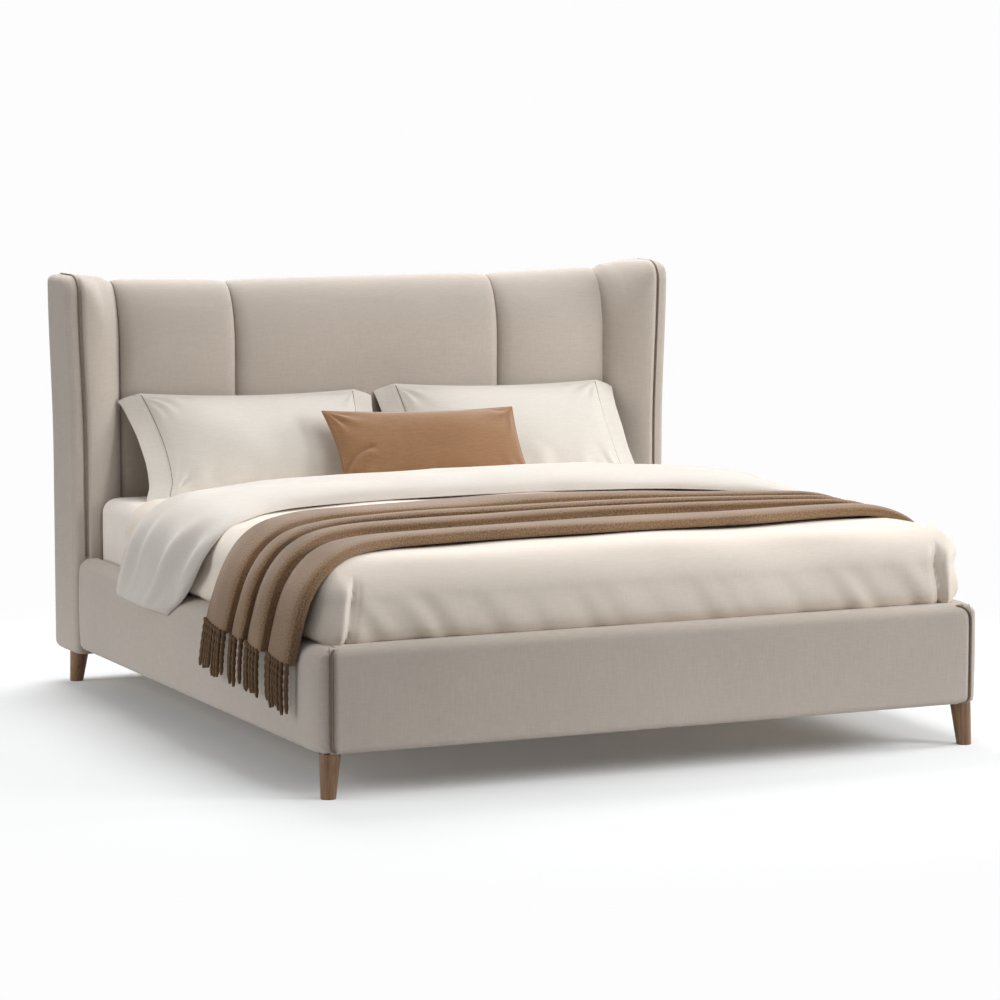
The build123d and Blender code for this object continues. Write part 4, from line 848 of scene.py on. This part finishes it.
def tassels(row, way, seed, count=29):
    """Twisted two-ply cords, each a tapering tube with a turning two-lobed section, hung from the hem;
    those at the far edge swing 60 mm towards the headboard."""
    random = np.random.default_rng(seed)
    t, ring = np.linspace(0, 1, 20), np.linspace(0, 2 * np.pi, 12, endpoint=False)
    size = 0.0082 * (1 - 0.15 * t[:, None]) * (0.80 + 0.20 * np.cos(2 * (ring + 6 * np.pi * t[:, None])))
    size[-1] *= 0.5
    grids = []
    for k in range(count):
        start = row[int(round((k + 0.5) / count * (len(row) - 1)))]
        length, sway = 0.143 + random.uniform(-0.012, 0.008), random.uniform(-0.006, 0.006)
        swing = 0.060 * (1 - (k + 0.5) / count) ** 2 + sway
        x = start[0] + way * (0.003 + 0.003 * np.sin(np.pi * t)) + random.uniform(-0.002, 0.002)
        y = start[1] + swing * t ** 1.3
        z = start[2] + 0.006 - length * t
        grids.append(np.stack([x[:, None] + size * np.cos(ring), y[:, None] + size * np.sin(ring),
                               np.repeat(z[:, None], 12, 1)], 2))
    return grids


def fringe(name, grids):
    """Joins the tassels into one piece, each closed at both ends."""
    rows, cols = grids[0].shape[:2]
    i, j = [part.ravel() for part in np.meshgrid(np.arange(rows - 1), np.arange(cols), indexing="ij")]
    k = (j + 1) % cols
    quads = np.stack([i * cols + j, (i + 1) * cols + j, (i + 1) * cols + k, i * cols + k], 1)
    faces = []
    for start in range(0, len(grids) * rows * cols, rows * cols):
        end = start + rows * cols
        faces += (quads + start).tolist()
        faces += [list(range(start, start + cols)), list(range(end - cols, end))[::-1]]
    points = np.concatenate(grids).reshape(-1, 3) - (0, BED_LENGTH / 2, 0)
    mesh = bpy.data.meshes.new(name)
    mesh.from_pydata(points.tolist(), [], faces)
    mesh.uv_layers.new(name="cloth_map")
    mesh.polygons.foreach_set("use_smooth", [True] * len(faces))
    mesh.materials.append(twist)
    made = bpy.data.objects.new(name, mesh)
    bpy.context.scene.collection.objects.link(made)
    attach(made, "throw")
    return made


fringes = [fringe("throw_fringe_left", tassels(blanket_grid[0], -1, 51)),
           fringe("throw_fringe_right", tassels(blanket_grid[-1], 1, 52))]
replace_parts(blanket_piece, "throw")

# Pillows. Two filled cases with a wide flat flange at each end lean on the headboard.
pillow_cotton = cloth("cotton_pillowcase", "#e5e0d7", "#dcd5cc", 3, 0.8, 0.2, 0.1, 0.8, sewn=False)
SLOPE = math.radians(56)


def leaned(points, centre):
    """Turned up to the pillows' slope about X, then set down at its centre, its right end a little low."""
    x, y, z = points[..., 0], points[..., 1], points[..., 2]
    return np.stack([centre[0] + x, centre[1] + y * math.cos(SLOPE) - z * math.sin(SLOPE),
                     centre[2] + y * math.sin(SLOPE) + z * math.cos(SLOPE) - 0.018 * x], -1)


def filled(name, centre, body_size, margin, drift, seed, material, slot, body, dent=0):
    """A filled case of two faces that share their rim. Between the seams its thickness falls from the
    middle as ((1 - |u|^2.6)(1 - |v|^2.2))^0.62, its edges draw in between the corners, and small folds
    fan out of the corners; beyond the seams lies the flat flange, 3 mm thick and thinning to the rim.
    drift moves the lower part of each end, in metres, as the weight settles; the flange bends back by
    17 degrees, its upper corners rounded; dent is the depth of a curved fold at the lower left."""
    half_wide, half_high, thick = body_size
    flange, hem = margin
    bend = np.sin(np.linspace(-np.pi / 2, np.pi / 2, 120))
    ring = np.linspace(0, 1, 9)[1:]
    u = np.r_[-1 - ring[::-1] * flange / half_wide, bend, 1 + ring * flange / half_wide]
    rim = np.linspace(0, 1, 4)[1:]
    v = np.r_[-1 - rim[::-1] * hem / half_high, np.sin(np.linspace(-np.pi / 2, np.pi / 2, 70)),
              1 + rim * hem / half_high]
    u, v = np.meshgrid(u, v, indexing="ij")
    a, b = np.clip(np.abs(u), 0, 1), np.clip(np.abs(v), 0, 1)
    full = ((1 - a ** 2.6) * (1 - b ** 2.2)) ** 0.62
    x = half_wide * u * (1 - 0.035 * (1 - b ** 2) * a ** 4)
    y = half_high * v * (1 - 0.075 * (1 - a ** 2) * b ** 3)
    fall = np.clip((1 - v) / 2, 0, 1)
    settle = np.sin(np.pi / 2 * np.clip(fall / 0.85, 0, 1)) - 0.35 * smooth((fall - 0.85) / 0.15)
    x = x + np.where(u < 0, drift[0], drift[1]) * settle * a ** 3
    beyond = np.clip(np.abs(u) - 1, 0, None) * half_wide
    bent = smooth(beyond / 0.02) * beyond
    x = x - np.sign(u) * 0.05 * bent
    y = y - 0.012 * (beyond / max(flange, 0.01)) ** 2 * b ** 6 * (v > 0)
    edge = np.minimum((1 + flange / half_wide - np.abs(u)) * half_wide,
                      (1 + hem / half_high - np.abs(v)) * half_high)
    flat_rim = 0.0016 * smooth(np.clip(edge, 0, None) / 0.002)
    place = np.stack([x, y, 0 * x], 2)
    corner = np.exp(-(((1 - a) * half_wide / 0.10) ** 2 + ((1 - b) * half_high / 0.08) ** 2))
    angle = np.arctan2((1 - b) * half_high, (1 - a) * half_wide + 1e-6)
    fan = np.sin(11 * angle + seed + 2 * ripple(seed, place, 0.2))
    wrinkle = 0.0070 * fan * corner * np.clip(full * 3, 0, 1) \
        + 0.006 * ripple(seed + 1, place, 0.30) * full \
        + 0.0034 * ripple(seed + 2, place, 0.07, stretch=(1, 2.2, 1)) * full ** 0.3 * smooth((-v - 0.1) / 0.6)
    puff = (thick / 2 - 0.0016) * full + wrinkle * np.clip(full * 4, 0, 1)
    from_dent = (x + 0.215, y + 0.095)
    away = np.hypot(*from_dent) / 0.085
    sector = smooth((np.degrees(np.arctan2(from_dent[1], -from_dent[0])) + 25) / 40) \
        * smooth((y + 0.11) / 0.03) * smooth((-0.195 - x) / 0.03)
    puff = puff - dent * sector * (np.exp(-((away - 1.06) / 0.10) ** 2)
                                   - 0.5 * np.exp(-((away - 0.80) / 0.16) ** 2))
    wave = 0.004 * ripple(seed + 3, place, 0.15) * smooth(beyond / 0.05) - 0.30 * bent
    front = np.stack([x, y, wave + flat_rim + puff], 2)
    back = np.stack([x, y, wave - flat_rim - puff], 2)[:, ::-1]
    made = piece(name, leaned(np.concatenate([front, back], 1), centre), material, body, slot,
                 (False, True), True, True, 80)
    seam_line = np.stack([x, y, wave + flat_rim], 2)
    return made, seam_line


# A thread runs along each seam, drawn darker than the case: partly its own colour, partly painted shade of
# the sewn groove.
seam_thread_and_shade = cloth("pillow_seam_thread_painted_shade", "#9c9284", "#857b6d", 2, 0.9, 0.0, 0.1)
for name, side in sides.items():
    centre = (side * 0.445, 2.0250, 0.7694)
    drift = (0.034, 0.004) if side < 0 else (0.004, 0.014)
    pillow, seam_line = filled("pillow_case_" + name, centre, (0.368, 0.1855, 0.150), (0.076, 0.008), drift,
                               61 if side < 0 else 64, pillow_cotton, "pillow_cotton", "pillow_" + name)
    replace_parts(pillow, "pillow_" + name)
    for end, row in (("inner", 8 if side > 0 else -9), ("outer", -9 if side > 0 else 8)):
        line = seam_line[row, 3:-3] + (0, 0, 0.0008)
        thread = piece("pillow_seam_%s_%s" % (name, end), tube(leaned(line, centre), 0.0012, False, 6),
                       seam_thread_and_shade, "pillow_" + name, "pillow_cotton", (False, True), True)
        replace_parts(thread, "pillow_" + name)

# Lumbar cushion. A long knife-edged cushion in caramel cloth leans on the two pillows.
caramel = cloth("caramel_cotton_velvet", "#9e7652", "#886344", 3, 0.85, 0.6, 0.1, 0.8, sewn=False)
cushion, _ = filled("lumbar_cushion_cover", (0.072, 1.8418, 0.7400), (0.336, 0.154, 0.124), (0.004, 0.004),
                    (0.016, 0.004), 71, caramel, "cushion_fabric", "lumbar_cushion", 0.008)
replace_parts(cushion, "lumbar_cushion")

bpy.context.scene.view_settings.view_transform = "Standard"
